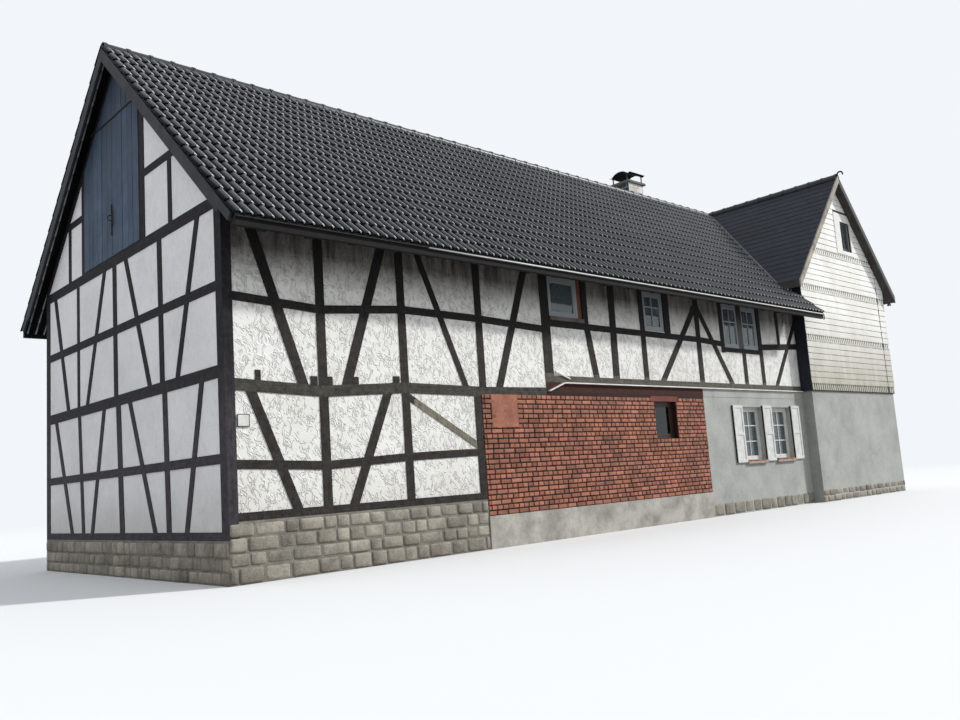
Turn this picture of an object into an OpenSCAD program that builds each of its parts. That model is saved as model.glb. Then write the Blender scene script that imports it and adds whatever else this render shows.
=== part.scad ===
// Half timbered farmhouse: a long two storey block with a timber gable, and a cross wing clad with slates.
// Lengths are millimetres, +Z is up, -Y is the long front, and the ground under the lowest wall is z = 0.

/* [Main block] */
// Depth of the main block
main_depth = 7130; // [6900:10:7400]
// Thickness of the timber framed walls
wall_t = 140; // [125:5:180]
// Thickness of the brick and rendered ground floor walls
masonry_t = 240; // [200:10:300]
// How far the plaster panels lie behind the face of the timbers
panel_recess = 12; // [5:1:15]
// Thickness of the plaster panels
panel_t = 110; // [90:5:110]

/* [Base] */
// Height of the stone base under the front and back
base_h = 790; // [700:10:850]
// Height of the stone base under the timber gable
gable_base_h = 560; // [500:10:650]
// Thickness of the stone base
base_t = 300; // [260:10:340]
// Height of the rendered plinth under the brick wall
plinth_h = 520; // [400:10:650]
// How far the rendered plinth stands out from the brick wall
plinth_out = 20; // [10:1:40]
// Height of the ground floor surface
ground_floor_z = 450; // [350:10:500]
// Thickness of the floors
floor_t = 150; // [120:10:160]
// Thickness of the loft floor
loft_floor_t = 110; // [80:5:120]

/* [Levels of the front, each over the one before] */
// Height of the sill beam on the stone base
sill_h = 110; // [90:5:150]
// From the sill beam to the top of the ground floor rail
low_rail_up = 680; // [600:10:750]
// From there to the top of the storey beam
storey_up = 1060; // [1000:10:1120]
// Height of the storey beam
storey_h = 160; // [140:5:175]
// How far the masonry stops under the top of the storey beam
masonry_drop = 80; // [60:5:100]
// Height of the beam on top of the masonry
wall_beam_h = 180; // [150:5:200]
// Height of the sill beam on top of it
upper_sill_h = 120; // [100:5:140]
// From the storey beam to the top of the upper rail
mid_rail_up = 1160; // [1100:10:1220]
// Height of the rails
rail_h = 120; // [100:5:150]
// From the upper rail to the underside of the wall plate
plate_up = 1020; // [950:10:1080]
// Height of the wall plate
plate_h = 200; // [180:10:240]

/* [Bays of the front, between the middles of the posts] */
// Bay beside the timber gable
bay_1_w = 1495; // [1400:5:1600]
// Second bay
bay_2_w = 1460; // [1350:5:1550]
// Third bay
bay_3_w = 1620; // [1500:5:1700]
// Fourth bay, up to the heavy post
bay_4_w = 1645; // [1550:5:1750]
// Bay with the first upper window
bay_5_w = 1120; // [1080:5:1200]
// Sixth bay
bay_6_w = 820; // [750:5:900]
// Seventh bay, over the opening in the brick wall
bay_7_w = 940; // [850:5:1050]
// Bay with the second upper window
bay_8_w = 870; // [800:5:950]
// Left half of the fan of braces
bay_9_w = 1120; // [1050:5:1250]
// Right half of the fan of braces
bay_10_w = 960; // [900:5:1050]
// Left half of the bay with the double window
bay_11_w = 870; // [800:5:950]
// Right half of the bay with the double window
bay_12_w = 780; // [720:5:850]
// Bay right of the double window
bay_13_w = 890; // [800:5:1000]
// Bay beside the wing
bay_14_w = 890; // [800:5:1000]

/* [Timbers of the front] */
// Width of the ordinary posts
post_w = 145; // [120:5:160]
// Width of the heavy post beside the first window
heavy_post_w = 220; // [180:5:240]
// Width of the braces
brace_w = 155; // [130:5:170]
// Height of the rail under the first two upper windows, over the rail of the left bays
high_rail_up = 75; // [50:5:100]
// How far the sill of the double window lies under the rail of the left bays
double_win_drop = 120; // [80:5:150]
// Height of the timber over the upper windows
head_h = 130; // [100:5:160]

/* [Ground floor masonry] */
// How far the brick wall starts left of the third post
brick_start = 65; // [30:5:110]
// How far the brick wall ends left of the ninth post
brick_stop = 60; // [20:5:150]
// From the seventh post to the opening in the brick wall
brick_win_off = 140; // [50:5:250]
// Width of the opening in the brick wall
brick_win_w = 740; // [650:10:850]
// Height of the opening in the brick wall
brick_win_h = 750; // [600:10:850]
// Masonry between that opening and the top of the wall
brick_win_over = 130; // [120:5:200]
// Height of the lintel over that opening
lintel_h = 105; // [80:5:115]
// How far the lintel bears on each side
lintel_end = 90; // [60:5:150]
// From the tenth post to the first ground floor window
ground_win_off = 470; // [440:5:550]
// Width of the ground floor windows
ground_win_w = 865; // [800:5:900]
// Sill height of the ground floor windows
ground_win_z = 1130; // [1000:10:1200]
// Height of the ground floor windows
ground_win_h = 1205; // [1100:5:1280]

/* [Windows] */
// Width of the brown board beside the first upper window
jamb_w = 118; // [80:2:150]
// Width of a window frame's bars
frame_w = 60; // [45:5:75]
// Depth of a window frame
frame_d = 60; // [45:5:80]
// Width of the post between the two lights of the double window
mullion_w = 220; // [150:10:240]
// Thickness of the glass
glass_t = 8; // [4:1:12]
// Depth of the upper windows behind the timber face
upper_reveal = 25; // [15:5:40]
// Depth of the ground floor windows behind the wall face
ground_reveal = 100; // [70:5:130]
// Height of the sill board under the first upper window
sill_board_h = 70; // [40:5:80]
// How far that sill board stands out
sill_board_out = 30; // [15:5:50]
// Thickness of the doors and of the flat boards
board_t = 40; // [30:1:50]

/* [Shutters and sills] */
// Width of the shutter leaves
shutter_w = 400; // [360:5:440]
// Height of the shutter leaves
shutter_h = 1280; // [1200:10:1400]
// Thickness of the shutter leaves
shutter_t = 35; // [25:1:45]
// Gap between a window and its shutter leaf
shutter_gap = 12; // [5:1:20]
// Bare wall beside the shutter leaf between the two windows
shutter_pier = 53; // [20:1:100]
// How far the shutters reach below the window sills
shutter_drop = 40; // [20:5:60]
// How far the tile sills stand out from the wall
sill_out = 60; // [40:5:90]
// Thickness of the tile sills
sill_t = 50; // [35:5:60]
// Fall of the tile sills
sill_fall = 25; // [10:5:40]

/* [Main roof] */
// Pitch of the main roof in degrees
main_pitch = 43; // [42:0.5:44]
// Thickness of the tiles, battens and boards, square to the slope
roof_t = 100; // [80:5:120]
// Depth of the rafters, square to the slope
rafter_h = 180; // [160:5:200]
// Width of the rafters
rafter_w = 100; // [80:5:120]
// Spacing of the rafters
rafter_step = 710; // [650:10:800]
// Middle of the first rafter behind the gable
rafter_first = 340; // [300:10:400]
// Depth of the rafters' notch on the wall plate
rafter_notch = 77; // [60:1:90]
// Overhang of the main eaves
eave_over = 780; // [700:10:850]
// From the eave's edge back to the ends of the rafters
tail_back = 230; // [180:10:300]
// Radius of the round lower corner of the rafters' ends
tail_r = 60; // [30:5:80]
// Overhang at the timber gable
verge_over = 195; // [150:5:250]
// Height of the eave board
eave_board_h = 110; // [90:5:130]
// Thickness of the eave board
eave_board_t = 70; // [50:5:80]
// Depth of the long barge boards, square to the slope
barge_h = 200; // [180:5:240]
// Depth of the short barge boards at the eaves
barge_end_h = 148; // [120:2:170]
// Length of the short barge boards
barge_end_l = 330; // [300:10:400]
// How far the barge boards stop short of the eaves
barge_short = 37; // [20:1:60]
// Depth of the barge boards' upper edge under the tiles, square to the slope
barge_drop = 25; // [10:1:30]
// Thickness of the barge boards
barge_t = 35; // [25:1:50]
// Radius of the ridge tiles
ridge_r = 115; // [100:5:125]
// Depth of the ridge tiles' centre under the ridge
ridge_sink = 70; // [60:5:80]

/* [Gable levels, each over the front's own] */
// Rise of the gable's ground floor rail
gable_low_rail_up = 90; // [50:5:120]
// Rise of the gable's storey beam
gable_storey_up = 190; // [150:5:220]
// Rise of the gable's upper rail
gable_mid_rail_up = 160; // [120:5:200]
// Rise of the loft beam over the wall plates
loft_beam_up = 110; // [80:5:130]
// Height of the gable's two heavy beams
loft_beam_h = 170; // [150:5:190]
// From the loft beam to the top of the short rails beside the loft door
loft_rail_up = 1090; // [1000:10:1150]

/* [Gable timbers] */
// Width of the corner posts on the gable face
corner_w = 190; // [160:5:220]
// Width of the gable's posts
gable_post_w = 150; // [130:5:170]
// Width of the posts beside the loft door
door_post_w = 180; // [150:5:200]
// Width of the gable's braces
gable_brace_w = 132; // [110:2:150]
// Depth of the gable's outer rafters, square to the slope
gable_rafter_h = 140; // [120:5:160]
// From the front corner to the head of the gable's first post
gable_post_1 = 1860; // [1750:5:2000]
// From the ridge line back to the head of the gable's middle post
gable_post_2 = 47; // [0:1:150]
// From the back corner to the head of the gable's third post
gable_post_3 = 1747; // [1650:1:1900]
// From the ridge line to the near side of the loft door
loft_door_off = 925; // [850:5:1000]
// Width of the loft door
loft_door_w = 2400; // [2200:10:2600]
// Height of the loft door
loft_door_h = 2360; // [2100:10:2400]
// From the ridge line to the joint between the leaves of the loft door
leaf_off = 165; // [100:5:250]
// Open joint between the leaves of the loft door
leaf_gap = 4; // [2:1:8]
// From the front corner to the small post under the front short rail
loft_post_front = 1490; // [1350:10:1600]
// From the back corner to the small post under the back short rail
loft_post_back = 1250; // [1150:10:1400]
// Width of those small posts
loft_post_w = 125; // [100:5:140]

/* [Wing] */
// Width of the wing
wing_w = 4870; // [4700:10:5000]
// How far the wing stands forward of the main front
wing_out = 260; // [220:10:320]
// Thickness of the wing's walls
wing_wall_t = 220; // [200:10:240]
// How far the cladding starts under the ledge of the main front
clad_drop = 10; // [0:5:30]
// Thickness of the slate cladding
clad_t = 35; // [25:1:45]
// Pitch of the wing's roof in degrees
wing_pitch = 48; // [47:0.5:49]
// Overhang of the wing's left eave, over the main roof
wing_eave_left = 440; // [400:10:480]
// Overhang of the wing's right eave
wing_eave_right = 360; // [300:10:420]
// Overhang of the wing's gables
wing_verge_over = 230; // [200:5:280]
// Thickness of the wing's roof, square to the slope
wing_roof_t = 120; // [100:5:140]
// Depth of the wing's barge boards, square to the slope
wing_barge_h = 130; // [110:5:160]
// From the ridge line to the left side of the wing's gable window
wing_win_off = 235; // [150:5:280]
// Width of the wing's gable window
wing_win_w = 540; // [480:10:600]
// Height of the wing's gable window
wing_win_h = 800; // [700:10:880]
// From the ridge down to the sill of that window
wing_win_drop = 2010; // [1950:10:2150]

/* [Chimney] */
// Bare ridge between the chimney and the wing
chimney_off = 640; // [600:10:900]
// Width of the chimney
chimney_w = 660; // [600:10:720]
// Depth of the chimney
chimney_d = 550; // [500:10:620]
// Distance from the ridge to the chimney
chimney_gap = 130; // [125:1:200]
// Height of the chimney over the ridge
chimney_rise = 400; // [350:10:500]
// Thickness of the chimney's cap slab
cap_t = 60; // [45:5:80]
// How far the cap slab stands out
cap_out = 60; // [45:5:90]
// Length of the cowl's arched sheet
cowl_l = 690; // [600:10:750]
// Radius of the arched sheet
cowl_r = 400; // [350:10:450]
// Rise of the arched sheet
cowl_rise = 125; // [100:5:150]
// How far the edges of the sheet turn out
cowl_lip_out = 74; // [50:2:90]
// How far the edges of the sheet turn up
cowl_lip_up = 28; // [15:1:40]
// Height of the sheet's lowest line over the cap
cowl_leg_h = 187; // [120:1:220]
// Width of the cowl's legs
cowl_leg_w = 25; // [15:1:40]
// Thickness of the sheet
cowl_t = 6; // [4:1:10]

/* [Metal strips] */
// Thickness of the ledge over the masonry
ledge_t = 20; // [10:1:30]
// How far the ledge stands out
ledge_out = 55; // [40:5:80]
// Height of the strip along the eaves
eave_strip_h = 35; // [25:5:45]
// Thickness of the strip along the eaves
eave_strip_t = 10; // [5:1:15]

/* [Hidden] */

// Middles of the posts of the front, counted from the gable, and the length of the main block
bays = [bay_1_w, bay_2_w, bay_3_w, bay_4_w, bay_5_w, bay_6_w, bay_7_w, bay_8_w, bay_9_w, bay_10_w,
    bay_11_w, bay_12_w, bay_13_w, bay_14_w];
function sum_to(i) = i == 0 ? 0 : bays[i - 1] + sum_to(i - 1);
post_x = [for (i = [0:len(bays)]) sum_to(i)];
main_len = post_x[len(bays)];
ridge_y = main_depth / 2;

// Levels of the front
sill_top = base_h + sill_h;
low_rail_z = sill_top + low_rail_up;
storey_z = low_rail_z + storey_up;
storey_under = storey_z - storey_h;
masonry_top = storey_z - masonry_drop;
ledge_z = masonry_top + wall_beam_h;
upper_sill_z = ledge_z + upper_sill_h;
mid_rail_z = storey_z + mid_rail_up;
high_rail_z = mid_rail_z + high_rail_up;
double_win_z = mid_rail_z - double_win_drop;
plate_z = mid_rail_z + plate_up;
plate_top = plate_z + plate_h;
win_top = plate_z - head_h;
loft_floor_z = plate_z + loft_floor_t;

// Levels of the gable
gable_sill_top = gable_base_h + sill_h;
gable_low_rail_z = low_rail_z + gable_low_rail_up;
gable_storey_z = storey_z + gable_storey_up;
gable_mid_rail_z = mid_rail_z + gable_mid_rail_up;
loft_beam_z = plate_top + loft_beam_up;
loft_rail_z = loft_beam_z + loft_rail_up;
loft_door_y = ridge_y - loft_door_off;
loft_door_y1 = loft_door_y + loft_door_w;
loft_door_top = loft_beam_z + loft_door_h;

// The main roof starts from the notch of its rafters on the wall plate, and both ridges lie at one height
main_slope = tan(main_pitch);
wing_slope = tan(wing_pitch);
roof_v = roof_t / cos(main_pitch);
rafter_v = rafter_h / cos(main_pitch);
gable_rafter_v = gable_rafter_h / cos(main_pitch);
wing_roof_v = wing_roof_t / cos(wing_pitch);
ridge_z = plate_top - rafter_notch + rafter_v + roof_v + main_slope * ridge_y;

// Outer lines of the wing
wing_x1 = main_len + wing_w;
wing_ridge_x = main_len + wing_w / 2;
wing_y0 = -wing_out;
wing_y1 = main_depth + wing_out;
wing_front = wing_y0 - wing_verge_over;
wing_run = wing_y1 - wing_y0 + 2 * wing_verge_over;
wing_ground_h = ledge_z - clad_drop;
eave_x0 = main_len - wing_eave_left;
eave_x1 = wing_x1 + wing_eave_right;
verge_x = -verge_over;
x_low = verge_x - barge_t;
x_mid = (x_low + eave_x1) / 2;

// Heights of the main roof's surface and underside over y, and of the wing's over x
function roof_top(y) = ridge_z - main_slope * abs(ridge_y - y);
function roof_under(y) = roof_top(y) - roof_v;
function wing_top(x) = ridge_z - wing_slope * abs(wing_ridge_x - x);
function wing_under(x) = wing_top(x) - wing_roof_v;

// A wall drawing of x and z, made solid from y0 towards +Y
module front_slab(y0, t) translate([0, y0 + t, 0]) rotate([90, 0, 0]) linear_extrude(t) children();

// A wall drawing of y and z, made solid from x0 towards +X
module side_slab(x0, t) translate([x0, 0, 0]) rotate([90, 0, 90]) linear_extrude(t) children();

// A plan drawing, made solid from z0 upwards
module flat_slab(z0, t) translate([0, 0, z0]) linear_extrude(t) children();

// The part's origin is under the middle of its box
module placed() translate([-x_mid, -ridge_y, 0]) children();

// Shapes drawn for the front, or for the near half of a gable, and again for the back
module front_and_back() for (side = [0, 1])
    translate([0, side * main_depth, 0]) mirror([0, side, 0]) children();

module both_halves() for (side = [0, 1]) translate([side * main_depth, 0]) mirror([side, 0]) children();

// A leaning timber with level ends: a centre at each end and a width
module bar(a, b, w) polygon([a - [w / 2, 0], a + [w / 2, 0], b + [w / 2, 0], b - [w / 2, 0]]);

// A chain of level timbers along the points of their upper edge
module chain(points, h) polygon(concat(points, [for (i = [len(points) - 1:-1:0]) points[i] - [0, h]]));

module rect(x0, z0, x1, z1) translate([x0, z0]) square([x1 - x0, z1 - z0]);

module box_at(low, high) translate(low) cube(high - low);

// Window openings: left, bottom, width, height
beam_start = post_x[4] - heavy_post_w / 2;
wide_post_w = post_w + 55;
jamb_x1 = post_x[5] - post_w / 2;
ground_win_x = post_x[10] + ground_win_off;
ground_pitch = ground_win_w + shutter_w + shutter_gap + shutter_pier;
win_1 = [post_x[4] + heavy_post_w / 2, high_rail_z + sill_board_h,
    bay_5_w - (heavy_post_w + post_w) / 2 - jamb_w, win_top - high_rail_z - sill_board_h];
win_2 = [post_x[7] + post_w / 2, high_rail_z, bay_8_w - (post_w + wide_post_w) / 2, win_top - high_rail_z];
win_3 = [post_x[10] + post_w / 2, double_win_z, bay_11_w + bay_12_w - post_w, win_top - double_win_z];
win_4 = [ground_win_x, ground_win_z, ground_win_w, ground_win_h];
win_5 = [ground_win_x + ground_pitch, ground_win_z, ground_win_w, ground_win_h];
win_6 = [post_x[7] + brick_win_off, masonry_top - brick_win_over - brick_win_h, brick_win_w, brick_win_h];
win_7 = [wing_ridge_x + wing_win_off, ridge_z - wing_win_drop, wing_win_w, wing_win_h];

module win_rect(w) rect(w[0], w[1], w[0] + w[2], w[1] + w[3]);

// Sill board under the first window, and the board between that window and its post
module sill_rect() rect(win_1[0], high_rail_z, jamb_x1, win_1[1]);

module jamb_rect() rect(win_1[0] + win_1[2], win_1[1], jamb_x1, win_top);

module upper_openings() {
    win_rect(win_1);
    win_rect(win_2);
    win_rect(win_3);
    sill_rect();
    jamb_rect();
}

// Ends of the brick wall
brick_x0 = post_x[3] - brick_start;
brick_x1 = post_x[9] - brick_stop;

// Upper edges of the bent beams and rails: their rise and fall at the posts, and their points
storey_bend = [0, -70, 10, -20, 0];
low_rail_bend = [0, -65, 5, 40];
mid_rail_bend = [0, -80, 40, 20, -50];
high_rail_bend = [0, -20, -65];
end_rail_bend = [30, 140];
storey_x = [wall_t, post_x[1], post_x[2], post_x[3], beam_start];
storey_pts = [for (i = [0:4]) [storey_x[i], storey_z + storey_bend[i]]];
low_rail_x = [wall_t, post_x[1], post_x[2], brick_x0];
low_rail_pts = [for (i = [0:3]) [low_rail_x[i], low_rail_z + low_rail_bend[i]]];
mid_rail_x = [wall_t, post_x[1], post_x[2], post_x[3], post_x[4]];
mid_rail_pts = [for (i = [0:4]) [mid_rail_x[i], mid_rail_z + mid_rail_bend[i]]];
high_rail_x = [post_x[4], post_x[9], post_x[10]];
high_rail_pts = [for (i = [0:2]) [high_rail_x[i], high_rail_z + high_rail_bend[i]]];
end_rail_x = [post_x[12], main_len];
end_rail_pts = [for (i = [0:1]) [end_rail_x[i], mid_rail_z + end_rail_bend[i]]];

// Upper posts that stand on the storey beam or the raised sill: middle at the foot and at the head, and width
left_posts = [[post_x[1], post_x[1], post_w], [post_x[2], post_x[2], post_w], [post_x[3], post_x[3], post_w],
    [post_x[4], post_x[4], heavy_post_w]];
right_posts = [[post_x[6] - 30, post_x[6], post_w + 40], [post_x[7], post_x[7], post_w + 5],
    [post_x[9], post_x[9], post_w + 20], [post_x[12], post_x[12], post_w]];

// Braces of the front: middle at the foot and at the head, and width
lower_braces = [[post_x[1] - 480, wall_t + 230, brace_w], [post_x[1] + 440, post_x[2] - 340, brace_w]];
left_braces = [[post_x[1] - 290, wall_t + 255, brace_w + 10], [post_x[1] + 360, post_x[2] - 295, brace_w + 10],
    [post_x[3] - 318, post_x[2] + 317, brace_w - 35], [post_x[3] + 330, post_x[4] - 441, brace_w]];
fan_foot_left = post_x[9] - 1430;
fan_foot_right = post_x[9] + 1200;
fan_head_z = win_top - 130;

// Sawn off stubs on the storey beam: middle, width, height over the level of the beam's ends
stubs = [[480, 80, 120], [post_x[1] - 150, 110, 60], [post_x[1] + 115, 80, 60], [post_x[1] + 535, 140, 70],
    [post_x[2] - 165, 120, 100]];

module storey_chain() chain(storey_pts, storey_h);

storey_mid = [for (p = storey_pts) p - [0, storey_h / 2]];

module below_storey() polygon(concat([[wall_t, base_h]], storey_mid, [[beam_start, base_h]]));

module above_storey() polygon(concat([[wall_t, plate_top]], storey_mid,
    [[beam_start, ledge_z], [main_len, ledge_z], [main_len, plate_top]]));

module lower_timbers() {
    rect(wall_t, base_h, brick_x0, sill_top);
    chain(low_rail_pts, rail_h);
    for (x = [post_x[1], post_x[2], brick_x0 - post_w / 2]) bar([x, sill_top], [x, storey_z], post_w);
    for (b = lower_braces) bar([b[0], sill_top], [b[1], storey_under], b[2]);
    polygon([[post_x[2], storey_under + 40], [post_x[2], storey_under - 75],
        [brick_x0 - post_w, low_rail_z + 30], [brick_x0 - post_w, low_rail_z + 150]]);
}

module front_frame_lower() {
    color("#4a403a") placed() front_slab(0, wall_t) difference() {
        intersection() {
            lower_timbers();
            below_storey();
        }
        storey_chain();
    }
}

module front_infill_lower() {
    color("#e8e8e4") placed() front_slab(panel_recess, panel_t) difference() {
        intersection() {
            below_storey();
            rect(wall_t, base_h, brick_x0, storey_z);
        }
        lower_timbers();
        storey_chain();
    }
}

// The storey beam of the left bays, and the beam that lies on the brick and rendered walls
module storey_beams() {
    color("#3f3733") placed() {
        front_slab(0, wall_t) storey_chain();
        front_slab(0, wall_t) rect(beam_start, masonry_top, main_len, ledge_z);
    }
}

module upper_timbers() {
    rect(wall_t, plate_z, main_len, plate_top);
    rect(beam_start, ledge_z, main_len, upper_sill_z);
    chain(mid_rail_pts, rail_h);
    chain(high_rail_pts, rail_h);
    chain(end_rail_pts, rail_h + 20);
    rect(post_x[10], double_win_z - rail_h + 20, post_x[12], double_win_z);
    for (p = left_posts) bar([p[0], storey_under], [p[1], plate_z], p[2]);
    for (p = right_posts) bar([p[0], upper_sill_z], [p[1], plate_z], p[2]);
    for (b = left_braces) bar([b[0], storey_under], [b[1], plate_z], b[2]);
    for (s = stubs) rect(s[0] - s[1] / 2, storey_under, s[0] + s[1] / 2, storey_z + s[2]);
    bar([post_x[5] + 190, upper_sill_z], [post_x[5], high_rail_z], post_w + 15);
    bar([post_x[5], high_rail_z - rail_h], [post_x[5], plate_z], post_w);
    bar([post_x[8], high_rail_z - rail_h], [post_x[8], plate_z], wide_post_w);
    bar([post_x[10], double_win_z - rail_h], [post_x[10], plate_z], post_w);
    bar([post_x[11], upper_sill_z], [post_x[11], double_win_z], post_w);
    bar([post_x[13], mid_rail_z - rail_h / 2], [post_x[13], plate_z], post_w - 25);
    bar([fan_foot_left, upper_sill_z], [post_x[9], fan_head_z], brace_w + 30);
    bar([fan_foot_right, upper_sill_z], [post_x[9], fan_head_z], brace_w + 10);
    bar([post_x[13] - 300, upper_sill_z], [post_x[13] + 1157, plate_z], brace_w);
    rect(post_x[4], win_top, post_x[5], plate_z);
    rect(post_x[7], win_top, post_x[8], plate_z);
    rect(post_x[10], win_top, post_x[12], plate_z);
}

module front_frame_upper() {
    color("#3b3430") placed() front_slab(0, wall_t) difference() {
        intersection() {
            upper_timbers();
            above_storey();
        }
        storey_chain();
        upper_openings();
    }
}

module front_infill_upper() {
    color("#e8e8e4") placed() front_slab(panel_recess, panel_t) difference() {
        above_storey();
        upper_timbers();
        storey_chain();
        upper_openings();
    }
}

module jamb_board() {
    color("#6a4334") placed() front_slab(upper_reveal, board_t) jamb_rect();
}

module sill_board() {
    color("#6b625b") placed()
        front_slab(-sill_board_out, sill_board_out + upper_reveal + frame_d) sill_rect();
}

// Stone base: low under the gable's timbers, higher behind them and under the front and back
module base_walls() {
    color("#9b978f") placed() {
        box_at([0, base_t, 0], [base_t, main_depth - base_t, gable_base_h]);
        box_at([0, 0, 0], [brick_x0, base_t, gable_base_h]);
        box_at([wall_t, 0, gable_base_h], [brick_x0, base_t, base_h]);
        box_at([0, main_depth - base_t, 0], [main_len, main_depth, gable_base_h]);
        box_at([wall_t, main_depth - base_t, gable_base_h], [main_len, main_depth, base_h]);
    }
}

module brick_plinth() {
    color("#b9b5ad") placed() box_at([brick_x0, -plinth_out, 0], [brick_x1, masonry_t, plinth_h]);
}

module lintel_rect() rect(win_6[0] - lintel_end, win_6[1] + win_6[3], win_6[0] + win_6[2] + lintel_end,
    win_6[1] + win_6[3] + lintel_h);

module brick_wall() {
    color("#8a4036") placed() front_slab(0, masonry_t) difference() {
        polygon([[brick_x0, plinth_h], [brick_x0, storey_mid[3][1]], storey_mid[3], storey_mid[4],
            [beam_start, masonry_top], [brick_x1, masonry_top], [brick_x1, plinth_h]]);
        storey_chain();
        win_rect(win_6);
        lintel_rect();
    }
}

module brick_lintel() {
    color("#7d5a50") placed() front_slab(0, masonry_t) lintel_rect();
}

module rendered_wall() {
    color("#c9c9c6") placed() front_slab(0, masonry_t) difference() {
        rect(brick_x1, 0, main_len, masonry_top);
        win_rect(win_4);
        win_rect(win_5);
    }
}

// Ledge over the masonry with its bent end, the loose strip over that end, and the strips along the eaves
ledge_pts = [[post_x[4] - 72, ledge_z - 150], [post_x[4] + 343, ledge_z], [main_len - clad_t, ledge_z]];
loose_strip_pts = [[post_x[4] + 140, ledge_z + 204], [post_x[4] + 516, ledge_z + 80]];

module metal_strips() {
    color("#c4c8c8") placed() {
        front_slab(-ledge_out, ledge_out) chain(ledge_pts, ledge_t);
        front_slab(-ledge_out / 2, ledge_out / 2) chain(loose_strip_pts, ledge_t);
        front_and_back() box_at([verge_x, -eave_over - eave_strip_t, roof_top(-eave_over) - eave_strip_h],
            [main_len, -eave_over, roof_top(-eave_over)]);
    }
}

module gable_outline(inset) polygon([[0, gable_base_h], [main_depth, gable_base_h],
    [main_depth, roof_under(main_depth) - inset], [ridge_y, roof_under(ridge_y) - inset],
    [0, roof_under(0) - inset]]);

module gable_rail(z, h) rect(0, z - h, main_depth, z);

// Heads of the gable's posts, and their ends under the loft beam
post_a = gable_post_1;
post_b = ridge_y + gable_post_2;
post_c = main_depth - gable_post_3;
gable_low_top = gable_storey_z - loft_beam_h;
gable_up_top = loft_beam_z - loft_beam_h;

// Posts and braces of the gable's two storeys: middle at the foot and at the head, and width
gable_low_bars = [[post_a - 68, post_a, gable_post_w], [post_b - 104, post_b, gable_post_w + 30],
    [post_c - 162, post_c, gable_post_w - 20], [post_a - 642, corner_w + 480, gable_brace_w],
    [post_a + 409, post_b - 472, gable_brace_w], [post_c - 576, post_b + 613, gable_brace_w],
    [post_c + 393, main_depth - corner_w - 350, gable_brace_w + 10]];
gable_up_bars = [[post_a + 70, post_a + 98, gable_post_w], [post_b + 88, post_b + 102, gable_post_w],
    [post_c + 27, post_c + 27, gable_post_w - 40], [post_a - 447, corner_w + 500, gable_brace_w],
    [post_a + 518, post_b - 372, gable_brace_w], [post_c - 391, post_b + 538, gable_brace_w],
    [post_c + 558, main_depth - corner_w - 320, gable_brace_w + 10]];

module gable_timbers() {
    gable_rail(gable_sill_top, sill_h);
    gable_rail(gable_low_rail_z, rail_h + 10);
    gable_rail(gable_storey_z, loft_beam_h);
    gable_rail(gable_mid_rail_z, rail_h + 15);
    gable_rail(loft_beam_z, loft_beam_h);
    both_halves() rect(0, gable_base_h, corner_w, loft_beam_z);
    for (b = gable_low_bars) bar([b[0], gable_sill_top], [b[1], gable_low_top], b[2]);
    for (b = gable_up_bars) bar([b[0], gable_storey_z], [b[1], gable_up_top], b[2]);
    difference() {
        gable_outline(0);
        gable_outline(gable_rafter_v);
        under_loft();
    }
    rect(loft_door_y - door_post_w, loft_beam_z, loft_door_y, ridge_z);
    rect(loft_door_y1, loft_beam_z, loft_door_y1 + door_post_w - 20, ridge_z);
    rect(0, loft_rail_z - rail_h, loft_door_y, loft_rail_z);
    rect(loft_door_y1, loft_rail_z - rail_h, main_depth, loft_rail_z);
    rect(loft_post_front, loft_beam_z, loft_post_front + loft_post_w, loft_rail_z);
    rect(main_depth - loft_post_back - loft_post_w, loft_beam_z, main_depth - loft_post_back, loft_rail_z);
}

module loft_opening() intersection() {
    rect(loft_door_y, loft_beam_z, loft_door_y1, loft_door_top);
    gable_outline(gable_rafter_v);
}

module apex_boards() intersection() {
    gable_outline(gable_rafter_v);
    rect(loft_door_y - door_post_w, loft_door_top, loft_door_y1 + door_post_w, ridge_z);
}

// The gable's parts under the top of the loft beam, and those over it
module under_loft() rect(0, gable_base_h, main_depth, loft_beam_z);

module over_loft() rect(0, loft_beam_z, main_depth, ridge_z);

module gable_frame() {
    color("#3f3935") placed() side_slab(0, wall_t) intersection() {
        gable_timbers();
        under_loft();
    }
}

module gable_infill() {
    color("#e8e8e4") placed() side_slab(panel_recess, panel_t) difference() {
        under_loft();
        gable_timbers();
    }
}

module loft_frame() {
    color("#3f3935") placed() side_slab(0, wall_t) difference() {
        intersection() {
            gable_timbers();
            gable_outline(0);
            over_loft();
        }
        loft_opening();
        apex_boards();
    }
}

module loft_infill() {
    color("#e8e8e4") placed() side_slab(panel_recess, panel_t) difference() {
        intersection() {
            gable_outline(gable_rafter_v);
            over_loft();
        }
        gable_timbers();
        loft_opening();
        apex_boards();
    }
}

module gable_boards() {
    color("#454e5a") placed() side_slab(0, board_t) apex_boards();
}

// The hidden back repeats the front's timber framing in plain bays, with one door
back_bays = 9;
back_door_bay = 5;
back_door_w = 1000;
back_door_h = 1660;
back_step = (main_len - wall_t) / back_bays;
back_door_x = wall_t + back_step * (back_door_bay + 0.5) - back_door_w / 2;
back_toe = back_step / 4;

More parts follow.
